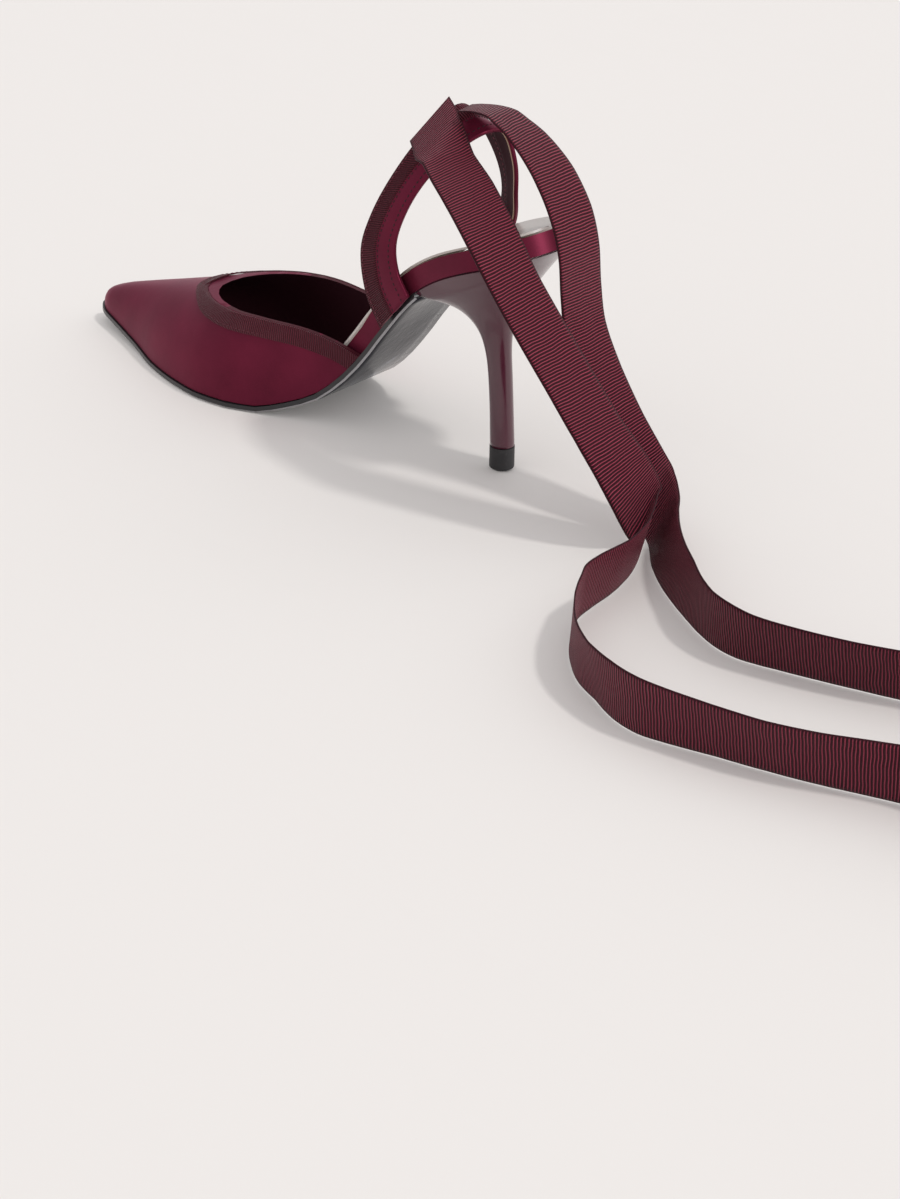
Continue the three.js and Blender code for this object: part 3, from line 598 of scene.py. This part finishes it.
# %% Weave of the binding
opening_half = 0.0285
binding_middle = 0.034
weave_middle = 0.011
topline_fine = 12


def topline_curve():
    """The plan of the opening, from the inner rear round the throat to the outer rear."""
    inner = [
        (-opening_half, 0.055),
        (-opening_half, 0.085),
        (-0.0265, 0.112),
        (-0.02, 0.134),
        (-0.0105, 0.1475),
    ]
    points = [Vector((x, y, 0)) for x, y in inner]
    points.append(Vector((0, opening_front, 0)))
    points += [Vector((-point.x, point.y, 0)) for point in reversed(points[:-1])]
    return between(points, topline_fine)


topline = topline_curve()
topline_runs = run_of(topline)
binding_uv = binding_piece.data.uv_layers.new(name="weave")
for loop in binding_piece.data.loops:
    at = binding_piece.data.vertices[loop.vertex_index].co
    flat = Vector((at.x, at.y, 0))
    nearest = min(range(len(topline)), key=lambda i: (topline[i] - flat).length)
    i = min(max(nearest, 1), len(topline) - 2)
    way = (topline[i + 1] - topline[i - 1]).normalized()
    run = topline_runs[i] + (flat - topline[i]).dot(way)
    binding_uv.data[loop.index].uv = (weave_middle + (at.z - binding_middle), run)
print("binding run", round(topline_runs[-1], 3), "m")

# %% [markdown]
# Under the foot lies a board wrapped in satin, whose side shows as the rand, with a pale sock on
# its heel half. A tan line of board shows round the sock. The outsole is glossy below, with pale
# streaks that are painted reflections; it has a black edge, and a chamfer between the two whose
# pale grey is a painted highlight line. The heel alone is subdivided once, so that its slim curve
# stays smooth against the floor.

# %% Rand, sock, heel, top piece and outsole
sock_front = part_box("heel_sock")[1].y
board_setback = 0.004
underside = -0.93
chamfer = -0.3
waist_front = 0.1


def rand_part(centre, normal):
    """0 satin at the side, 1 tan board edge under the sock, 2 footbed in the forefoot."""
    if normal.z < 0.5:
        return 0
    return 1 if centre.y < sock_front - board_setback else 2


def sole_part(centre, normal):
    """0 the glossy underside, 1 the black edge, 2 the chamfer, painted pale as a highlight line.
    """
    waist = centre.y < waist_front and normal.z < chamfer and abs(normal.x) < 0.4
    if normal.z < underside or waist:
        return 0
    return 2 if normal.z < chamfer else 1


rand = dressed("rand_satin", "insole_board", rand_part)
sock = dressed("heel_sock_pad", "heel_sock")
heel = dressed("heel_lacquered", "heel", levels=1)
top_piece = dressed("heel_top_piece", "toplift")
outsole = dressed("outsole_glossy", "outsole", sole_part)
for piece in (rand, sock, heel, top_piece, outsole):
    print(piece.name, len(piece.data.polygons), "faces")

# %% [markdown]
# Thread is what makes sewn satin read as sewn. A stitch is a short, thick grain of thread
# that dips into the cloth at both ends. One small ball, stretched along the seam, is enough
# for each, because there are hundreds. A row needs only points along the seam, and the way
# out of the cloth at each.

# %% A row of stitches
def sewn_row(name, points, outs, pitch, stitch, thickness):
    mesh = bmesh.new()
    runs = run_of(points)
    count = int(runs[-1] / pitch)
    i = 0
    for k in range(count):
        run = (k + 0.5) * pitch
        while i < len(runs) - 2 and runs[i + 1] < run:
            i += 1
        t = (run - runs[i]) / max(runs[i + 1] - runs[i], 1e-9)
        at = points[i].lerp(points[i + 1], t)
        ahead = (points[i + 1] - points[i]).normalized()
        out = outs[i]
        side = ahead.cross(out).normalized()
        out = side.cross(ahead).normalized()
        turned = Matrix((ahead, side, out)).transposed().to_4x4()
        sized = Matrix.Diagonal((stitch / 2, thickness / 2, thickness / 2, 1))
        bmesh.ops.create_icosphere(
            mesh, subdivisions=1, radius=1, matrix=Matrix.Translation(at) @ turned @ sized
        )
    for face in mesh.faces:
        face.smooth = True
    piece = new_piece(name, mesh)
    print(name, count, "stitches")
    return piece


print("stitches ready")

# %% [markdown]
# On the sling, a seam runs at one share across the cloth, outside or inside. Round the
# topline it runs just above the binding's lower edge, and rays that are cast from outside
# find where it lies.

# %% Seams of the sling and the topline
seam_steps = 160
inside_lift = -0.0017
outside_lift = 0.00005
binding_lift = 0.00008
ray_start = 0.02
ray_length = 0.03
near_reach = 0.004
opening_middle = Vector((0, 0.1, 0))


def sling_seam(name, across, inside=False):
    shares = [k / seam_steps for k in range(seam_steps + 1)]
    lift = inside_lift - band_step * (across > 1 - band_share) if inside else outside_lift
    points = [on_sling(across, share, lift) for share in shares]
    outs = [sling_outward(share) * (-1 if inside else 1) for share in shares]
    return sewn_row(name, points, outs, pitch=0.0021, stitch=0.0014, thickness=0.00045)


def binding_seam(name, height):
    """Stitches at a height above the lower edge of the topline's binding."""
    spots = [vert.co for vert in binding_piece.data.vertices]
    tree = BVHTree.FromPolygons(spots, [face.vertices[:] for face in binding_piece.data.polygons])
    points = []
    outs = []
    for i in range(2, len(topline) - 2, 2):
        way = (topline[i + 1] - topline[i - 1]).normalized()
        out = Vector((way.y, -way.x, 0))
        if out.dot(topline[i] - opening_middle) < 0:
            out = -out
        near = [spot.z for spot in spots if (spot.xy - topline[i].xy).length < near_reach]
        if not near:
            continue
        start = topline[i] + out * ray_start
        start.z = min(near) + height
        hit, normal = tree.ray_cast(start, -out, ray_length)[:2]
        if hit:
            points.append(hit + normal * binding_lift)
            outs.append(normal)
    return sewn_row(name, points, outs, pitch=0.002, stitch=0.0014, thickness=0.0003)


print("seams ready")

# %% [markdown]
# The ribbon is sewn at three places: a few stitches hold the start of the front tail at the
# tack, and a row crosses each tail, outside and inside, where its satin cap begins.

# %% Seams of the ribbon
open_side = Vector((-0.66, -0.58, 0.48))
tack_points = 9
tack_share = 0.44
tack_lift = 0.0003
cap_points = 11
cap_share = 0.46
cap_inset = 0.0013
cap_lift = 0.00075


def tack_stitches(name):
    """The few stitches that hold the start of the front tail down."""
    line, sides = ribbon_line(front_tail_rows)
    points = []
    outs = []
    for k in range(tack_points):
        ahead = (line[k + 1] - line[k]).normalized()
        out = ahead.cross(sides[k]).normalized()
        if out.dot(open_side) < 0:
            out = -out
        points.append(line[k] + sides[k] * tack_share * ribbon_width + out * tack_lift)
        outs.append(out)
    return sewn_row(name, points, outs, pitch=0.0017, stitch=0.0013, thickness=0.0004)


def cap_stitches(name, rows):
    """Stitches across the ribbon, where the satin cap is sewn on."""
    line, sides = ribbon_line(rows)
    ahead = (line[-1] - line[-2]).normalized()
    half = (cap_points - 1) / 2
    points = []
    outs = []
    for face in (-1, 1):
        out = ahead.cross(sides[-1]).normalized() * face
        start = line[-1] + ahead * cap_inset + out * cap_lift
        for k in range(cap_points):
            points.append(start + sides[-1] * ribbon_width * cap_share * (k / half - 1) * face)
            outs.append(out)
    return sewn_row(name, points, outs, pitch=0.0019, stitch=0.0013, thickness=0.0004)


threads = [
    cap_stitches("rear_cap_seam", rear_tail_rows),
    cap_stitches("front_cap_seam", front_tail_rows),
    binding_seam("binding_seam", height=0.0011),
    tack_stitches("tail_tack"),
    sling_seam("sling_band_seam", across=0.50),
    sling_seam("sling_band_second_seam", across=0.93),
    sling_seam("sling_rear_seam", across=0.16),
    sling_seam("sling_inner_seam", across=0.60, inside=True),
]
print(len(threads), "rows of stitches")

# %% [markdown]
# Cloth and lacquer need finishes with the right grain. What several finishes share is made
# once as a node group: the cross ribs of grosgrain, the fine thread of satin, and light
# handling marks. A group only puts out colours, masks and heights, and each material keeps
# its own shader with its plain values. The helpers make a group, a node that is wired at
# once, and the two nodes that are used most.

# %% Helpers for finishes
def node_group(name, inputs, outputs):
    tree = bpy.data.node_groups.new(name, "ShaderNodeTree")
    for label, kind, value in inputs:
        socket = tree.interface.new_socket(name=label, in_out="INPUT", socket_type=kind)
        if value is not None:
            socket.default_value = value
    for label, kind in outputs:
        tree.interface.new_socket(name=label, in_out="OUTPUT", socket_type=kind)
    return tree, tree.nodes.new("NodeGroupInput"), tree.nodes.new("NodeGroupOutput")


def wired(tree, kind, settings=None, **sockets):
    """A new node whose sockets get a value or a link: by name, or by number as i0 and i1."""
    node = tree.nodes.new(kind)
    for key, value in (settings or {}).items():
        setattr(node, key, value)
    for key, value in sockets.items():
        place = int(key[1:]) if key[1:].isdigit() else key.replace("_", " ")
        if isinstance(value, bpy.types.NodeSocket):
            tree.links.new(value, node.inputs[place])
        else:
            node.inputs[place].default_value = value
    return node


def maths(tree, operation, first, second=0.0, third=0.0, clamp=False):
    settings = {"operation": operation, "use_clamp": clamp}
    return wired(tree, "ShaderNodeMath", settings, i0=first, i1=second, i2=third).outputs[0]


def blended(tree, share, first, second):
    node = wired(tree, "ShaderNodeMix", {"data_type": "RGBA"}, i0=share, i6=first, i7=second)
    return node.outputs[2]


print("finish helpers ready")

# %% [markdown]
# Grosgrain has fine ribs that run across it, with grooves between them, and a flat woven edge. A
# sine along the ribbon's UV map gives the ribs. Its colour is painted light: a dark groove colour
# is painted shade between the ribs, and a pink crest colour, narrowed to thin lines, is a painted
# highlight on the crests. Noise makes the ribs drift a little, as woven ribs do, and adds loose
# fibre. The crests fade out at the edges.

# %% Grosgrain ribs
FLOAT = "NodeSocketFloat"
COLOUR = "NodeSocketColor"
VECTOR = "NodeSocketVector"
rib_drift = 0.0009
woven_edge = 0.0009
highlight_narrowing = 3.0
fibre_relief = 0.15
groove_rough = 0.62
crest_gloss = 0.26
ribs, ribs_in, ribs_out = node_group(
    "grosgrain_ribs",
    [
        ("Weave", VECTOR, None),
        ("Pitch", FLOAT, 0.0011),
        ("Half Width", FLOAT, 0.011),
        ("Groove", COLOUR, None),
        ("Crest", COLOUR, None),
    ],
    [("Colour", COLOUR), ("Height", FLOAT), ("Roughness", FLOAT)],
)
weave = ribs_in.outputs["Weave"]
parts = wired(ribs, "ShaderNodeSeparateXYZ", i0=weave).outputs
drift = wired(ribs, "ShaderNodeTexNoise", Vector=weave, Scale=140.0, Detail=1.0).outputs["Fac"]
drift = maths(ribs, "MULTIPLY", maths(ribs, "SUBTRACT", drift, 0.5), rib_drift)
turns = maths(ribs, "DIVIDE", maths(ribs, "ADD", parts[1], drift), ribs_in.outputs["Pitch"])
wave = maths(ribs, "SINE", maths(ribs, "MULTIPLY", turns, 2 * math.pi))
crest = maths(ribs, "MULTIPLY_ADD", wave, 0.5, 0.5)
off_middle = maths(
    ribs, "ABSOLUTE", maths(ribs, "SUBTRACT", parts[0], ribs_in.outputs["Half Width"])
)
from_edge = maths(ribs, "SUBTRACT", ribs_in.outputs["Half Width"], off_middle)
inner = maths(ribs, "DIVIDE", from_edge, woven_edge, clamp=True)
fibre = wired(ribs, "ShaderNodeTexNoise", Vector=weave, Scale=2600.0, Detail=2.0).outputs["Fac"]
# This mask places the painted crest highlight, and the rest gets the painted groove shade; it
# also makes the crests glossier.
painted_crest_light = maths(ribs, "MULTIPLY", maths(ribs, "POWER", crest, highlight_narrowing), inner)
painted_crest_light = maths(ribs, "MULTIPLY", painted_crest_light, maths(ribs, "ADD", fibre, 0.45), clamp=True)
colour = blended(ribs, painted_crest_light, ribs_in.outputs["Groove"], ribs_in.outputs["Crest"])
rib_height = maths(ribs, "MULTIPLY", crest, inner)
height = maths(ribs, "ADD", rib_height, maths(ribs, "MULTIPLY", fibre, fibre_relief))
ribs.links.new(colour, ribs_out.inputs["Colour"])
ribs.links.new(height, ribs_out.inputs["Height"])
gloss = maths(ribs, "MULTIPLY", painted_crest_light, crest_gloss)
rough = maths(ribs, "SUBTRACT", groove_rough, gloss)
ribs.links.new(rough, ribs_out.inputs["Roughness"])
print("grosgrain group", len(ribs.nodes), "nodes")

# %% [markdown]
# Satin is woven so that its threads lie side by side on the face. Up close it shows fine
# streaks, and further off it changes slowly in tone where it is pulled over the last. Both
# are noise in the piece's own place, and the streaks come from a Mapping node that stretches
# the noise along the shoe.

# %% Satin thread
satin_threads, satin_in, satin_out = node_group(
    "satin_threads",
    [
        ("Place", VECTOR, None),
        ("Thread Scale", FLOAT, 3600.0),
        ("Deep", COLOUR, None),
        ("Bright", COLOUR, None),
    ],
    [("Colour", COLOUR), ("Height", FLOAT), ("Roughness", FLOAT)],
)
stretch = wired(
    satin_threads, "ShaderNodeMapping", i0=satin_in.outputs["Place"], Scale=(1.0, 0.12, 1.0)
)
thread = wired(
    satin_threads,
    "ShaderNodeTexNoise",
    Vector=stretch.outputs[0],
    Scale=satin_in.outputs["Thread Scale"],
    Detail=2.0,
).outputs["Fac"]
tone = wired(
    satin_threads, "ShaderNodeTexNoise", Vector=satin_in.outputs["Place"], Scale=45.0, Detail=3.0
).outputs["Fac"]
pull = wired(
    satin_threads, "ShaderNodeTexNoise", Vector=satin_in.outputs["Place"], Scale=210.0, Detail=2.0
).outputs["Fac"]
lit = maths(satin_threads, "MULTIPLY_ADD", tone, 0.8, -0.15)
streaks = maths(satin_threads, "MULTIPLY", thread, 0.3)
lit = maths(satin_threads, "ADD", lit, streaks, clamp=True)
satin_colour = blended(satin_threads, lit, satin_in.outputs["Deep"], satin_in.outputs["Bright"])
satin_threads.links.new(satin_colour, satin_out.inputs["Colour"])
relief = maths(satin_threads, "ADD", maths(satin_threads, "MULTIPLY", thread, 0.35), pull)
satin_threads.links.new(relief, satin_out.inputs["Height"])
satin_rough = maths(satin_threads, "MULTIPLY_ADD", thread, 0.12, 0.3)
satin_threads.links.new(satin_rough, satin_out.inputs["Roughness"])
print("satin group", len(satin_threads.nodes), "nodes")

# %% [markdown]
# Nothing that is handled stays quite even. The marks are stretched noise, cut off so that only
# its peaks show, and they mix a second colour into the first. With a strong amount the same group
# paints the pale streaks on the outsole, which are painted reflections of the floor in its
# polish.

# %% Handling marks
mark_cut = 0.56
mark_contrast = 6.0
marks, marks_in, marks_out = node_group(
    "handling_and_reflection_marks",
    [("Place", VECTOR, None), ("Mark Scale", FLOAT, 120.0), ("Amount", FLOAT, 0.5)],
    [("Mask", FLOAT), ("Height", FLOAT)],
)
drawn = wired(marks, "ShaderNodeMapping", i0=marks_in.outputs["Place"], Scale=(1.0, 0.25, 1.0))
spots = wired(
    marks,
    "ShaderNodeTexNoise",
    Vector=drawn.outputs[0],
    Scale=marks_in.outputs["Mark Scale"],
    Detail=6.0,
    Roughness=0.7,
).outputs["Fac"]
peaks = maths(marks, "SUBTRACT", spots, mark_cut, clamp=True)
mask = maths(marks, "MULTIPLY", peaks, mark_contrast, clamp=True)
mask = maths(marks, "MULTIPLY", mask, marks_in.outputs["Amount"])
marks.links.new(mask, marks_out.inputs["Mask"])
marks.links.new(spots, marks_out.inputs["Height"])
print("marks group", len(marks.nodes), "nodes")

# %% [markdown]
# Each finish is one material. The shader's plain values are set on its own sockets, and only
# what changes over the surface is linked. Satin shines in its own colour, so it is partly
# metallic, with a soft highlight; grosgrain is dull in its grooves; the heel is lacquered
# under a clear coat.

# %% Helpers for materials
def finish(name, **values):
    material = bpy.data.materials.new(name)
    material.use_nodes = True
    tree = material.node_tree
    shader = tree.nodes["Principled BSDF"]
    for key, value in values.items():
        shader.inputs[key.replace("_", " ")].default_value = value
    coordinates = tree.nodes.new("ShaderNodeTexCoord")
    return material, tree, shader, coordinates


def grouped(tree, group, **sockets):
    return wired(tree, "ShaderNodeGroup", {"node_tree": group}, **sockets).outputs


def bumped(tree, shader, height, distance, strength=1.0):
    bump = wired(tree, "ShaderNodeBump", Height=height, Distance=distance, Strength=strength)
    tree.links.new(bump.outputs[0], shader.inputs["Normal"])


# Its groove colour is painted shade and its crest colour a painted highlight.
def grosgrain(name, half_width, groove, crest, pitch=0.0011):
    material, tree, shader, at = finish(
        name,
        Specular_IOR_Level=0.3,
        Specular_Tint=(1, 0.5, 0.58, 1),
        Sheen_Weight=0.08,
        Sheen_Roughness=0.3,
        Sheen_Tint=(1, 0.5, 0.56, 1),
    )
    out = grouped(
        tree,
        ribs,
        Weave=at.outputs["UV"],
        Pitch=pitch,
        Half_Width=half_width,
        Groove=(*groove, 1),
        Crest=(*crest, 1),
    )
    tree.links.new(out["Colour"], shader.inputs["Base Color"])
    tree.links.new(out["Roughness"], shader.inputs["Roughness"])
    bumped(tree, shader, out["Height"], distance=0.0007)
    return material


def satin(name, deep, bright):
    material, tree, shader, at = finish(
        name,
        Metallic=0.35,
        Specular_IOR_Level=0.15,
        Specular_Tint=(1, 0.4, 0.55, 1),
        Sheen_Weight=0.06,
        Sheen_Roughness=0.35,
        Sheen_Tint=(1, 0.3, 0.48, 1),
    )
    out = grouped(
        tree, satin_threads, Place=at.outputs["Object"], Deep=(*deep, 1), Bright=(*bright, 1)
    )
    tree.links.new(out["Colour"], shader.inputs["Base Color"])
    tree.links.new(out["Roughness"], shader.inputs["Roughness"])
    bumped(tree, shader, out["Height"], distance=0.00006, strength=0.6)
    return material


def marked(name, colour, wear_and_reflection, rough, scale, amount, relief, **values):
    material, tree, shader, at = finish(name, Roughness=rough, **values)
    out = grouped(tree, marks, Place=at.outputs["Object"], Mark_Scale=scale, Amount=amount)
    mixed = blended(tree, out["Mask"], (*colour, 1), (*wear_and_reflection, 1))
    tree.links.new(mixed, shader.inputs["Base Color"])
    bumped(tree, shader, out["Height"], distance=relief, strength=0.4)
    return material


print("material helpers ready")

# %% [markdown]
# A marked finish names two colours, which the marks mix: the plain one and a second one, which is
# wear on most finishes and a painted reflection on the outsole. Its scale says how fine the marks
# are, its amount how strong, and its relief how high, in metres. The ribbon's ribs are 1.1 mm
# apart, and those of the narrow bands 0.8 mm.

# %% Cloth finishes
# The groove colours are painted shade, and the crest colours are painted highlights of the ribs.
ribbon_cloth = grosgrain(
    "ribbon_grosgrain", half_width=0.011, groove=(0.02, 0.002, 0.005), crest=(0.32, 0.045, 0.078)
)
band_cloth = grosgrain(
    "band_grosgrain",
    half_width=0.012,
    groove=(0.045, 0.005, 0.01),
    crest=(0.14, 0.018, 0.034),
    pitch=0.0008,
)
satin_cloth = satin("wine_satin", deep=(0.07, 0.007, 0.018), bright=(0.19, 0.019, 0.047))
lining_cloth = marked(
    "wine_lining",
    colour=(0.036, 0.006, 0.011),
    wear_and_reflection=(0.055, 0.01, 0.018),
    rough=0.8,
    scale=300.0,
    amount=0.6,
    relief=0.00005,
    Specular_IOR_Level=0.15,
)
board_edge = marked(
    "tan_board_edge",
    colour=(0.42, 0.26, 0.16),
    wear_and_reflection=(0.3, 0.17, 0.1),
    rough=0.5,
    scale=300.0,
    amount=0.6,
    relief=0.0001,
)
sock_cloth = marked(
    "silver_sock",
    colour=(0.56, 0.51, 0.48),
    wear_and_reflection=(0.68, 0.64, 0.6),
    rough=0.3,
    scale=60.0,
    amount=0.5,
    relief=0.00005,
)
cloths = (ribbon_cloth, band_cloth, satin_cloth, lining_cloth, board_edge, sock_cloth)
print("cloth finishes", [material.name for material in cloths])

# %% Heel and sole finishes
lacquer = marked(
    "plum_lacquer",
    colour=(0.062, 0.006, 0.019),
    wear_and_reflection=(0.083, 0.01, 0.028),
    rough=0.3,
    scale=50.0,
    amount=0.5,
    relief=0.00002,
    Coat_Weight=0.7,
    Coat_Roughness=0.03,
)
rubber = marked(
    "black_rubber",
    colour=(0.012, 0.011, 0.012),
    wear_and_reflection=(0.035, 0.033, 0.034),
    rough=0.5,
    scale=400.0,
    amount=0.8,
    relief=0.0001,
)
# The pale streaks of this outsole are painted reflections.
sole_gloss = marked(
    "grey_sole",
    colour=(0.009, 0.0095, 0.015),
    wear_and_reflection=(0.2, 0.21, 0.245),
    rough=0.12,
    scale=40.0,
    amount=1.0,
    relief=0.0012,
    Specular_IOR_Level=0.3,
    IOR=1.3,
)
sole_edge = marked(
    "black_sole_edge",
    colour=(0.012, 0.011, 0.013),
    wear_and_reflection=(0.04, 0.036, 0.04),
    rough=0.3,
    scale=200.0,
    amount=0.6,
    relief=0.0001,
)
# The chamfer's pale grey is a painted highlight line.
chamfer_highlight = marked(
    "pale_sole_line",
    colour=(0.3, 0.29, 0.3),
    wear_and_reflection=(0.18, 0.17, 0.18),
    rough=0.3,
    scale=200.0,
    amount=0.6,
    relief=0.0001,
)
hard_finishes = (lacquer, rubber, sole_gloss, sole_edge, chamfer_highlight)
print("heel and sole finishes", [material.name for material in hard_finishes])

# %% [markdown]
# The sewing thread is a little brighter than the cloth, so that it shows on the grosgrain. A
# dark one is used where the photo shows stitches sunk in the satin as dark dots.

# %% Threads
thread = marked(
    "plum_thread",
    colour=(0.11, 0.016, 0.03),
    wear_and_reflection=(0.22, 0.05, 0.075),
    rough=0.6,
    scale=900.0,
    amount=0.7,
    relief=0.0001,
)
dark_thread = marked(
    "dark_thread",
    colour=(0.02, 0.003, 0.006),
    wear_and_reflection=(0.04, 0.006, 0.01),
    rough=0.8,
    scale=900.0,
    amount=0.7,
    relief=0.0001,
)
dark_seams = ("rear_cap_seam", "front_cap_seam", "sling_band_seam", "sling_rear_seam")
print(len(dark_seams), "of", len(threads), "rows wear", dark_thread.name)

# %% [markdown]
# Each piece now gets its materials, in the order that its faces were sorted by. Clearing a
# mesh's materials resets the faces' numbers, so they are kept and put back. The sling's wall
# comes last, since its offsets count in the sling's own materials: three outside, three
# inside, three on the rim.

# %% Who wears what
def wear(piece, *materials):
    keep = [polygon.material_index for polygon in piece.data.polygons]
    piece.data.materials.clear()
    for material in materials:
        piece.data.materials.append(material)
    piece.data.polygons.foreach_set("material_index", keep)


wear(rear_tail, ribbon_cloth)
wear(front_tail, ribbon_cloth)
wear(rear_cap, satin_cloth)
wear(front_cap, satin_cloth)
wear(vamp_piece, satin_cloth, lining_cloth, band_cloth)
wear(binding_piece, band_cloth)
wear(rand, satin_cloth, board_edge, lining_cloth)
wear(sock, sock_cloth)
wear(heel, lacquer)
wear(top_piece, rubber)
wear(outsole, sole_gloss, sole_edge, chamfer_highlight)
sling_outside = (satin_cloth, band_cloth, satin_cloth)
wear(sling_piece, *sling_outside, lining_cloth, lining_cloth, board_edge, *sling_outside)
wall = sling_piece.modifiers.new("wall", "SOLIDIFY")
wall.thickness = sling_wall
wall.offset = -1
wall.material_offset = len(sling_outside)
wall.material_offset_rim = 2 * len(sling_outside)
for piece in threads:
    wear(piece, dark_thread if piece.name in dark_seams else thread)
print("every piece has its finish")

# %% [markdown]
# The light is a plain studio: a warm pale floor, a bright surround that fills the shadows,
# and one far lamp, high behind the heel, that throws soft-edged shadows towards the toe. A
# second, low lamp behind the heel throws no shadow, and brings out the satin that faces it.

# %% Floor
floor_half = 6
floor_drop = 0.0002
floor_mesh = bmesh.new()
bmesh.ops.create_grid(floor_mesh, x_segments=4, y_segments=4, size=floor_half)
floor_data = bpy.data.meshes.new("floor")
floor_mesh.to_mesh(floor_data)
floor_mesh.free()
floor = bpy.data.objects.new("floor", floor_data)
bpy.context.scene.collection.objects.link(floor)
floor.location.z = -floor_drop
paper = marked(
    "pale_paper",
    colour=(0.785, 0.752, 0.728),
    wear_and_reflection=(0.77, 0.738, 0.714),
    rough=0.9,
    scale=20.0,
    amount=0.3,
    relief=0.00005,
)
floor.data.materials.append(paper)
print("floor", 2 * floor_half, "m wide")

# %% Light
world = bpy.data.worlds.new("studio")
bpy.context.scene.world = world
world.use_nodes = True
surround = world.node_tree.nodes["Background"].inputs
surround["Color"].default_value = (0.985, 0.985, 1, 1)
surround["Strength"].default_value = 0.74


def far_lamp(name, towards, energy, spread, colour=(1, 1, 1), shadow=True):
    """A lamp so far off that its light is parallel, apart from a spread in degrees."""
    data = bpy.data.lights.new(name, "SUN")
    data.energy = energy
    data.angle = math.radians(spread)
    data.color = colour
    data.use_shadow = shadow
    lamp = bpy.data.objects.new(name, data)
    lamp.rotation_euler = Vector(towards).to_track_quat("Z", "Y").to_euler()
    bpy.context.scene.collection.objects.link(lamp)
    print("lamp", name, "of strength", energy)


far_lamp("sun", towards=(0.11, -0.49, 0.87), energy=0.85, spread=5, colour=(1, 0.985, 0.96))
far_lamp("fill", towards=(0.12, -0.94, 0.3), energy=1.5, spread=20, shadow=False)
bpy.context.scene.view_settings.view_transform = "Standard"
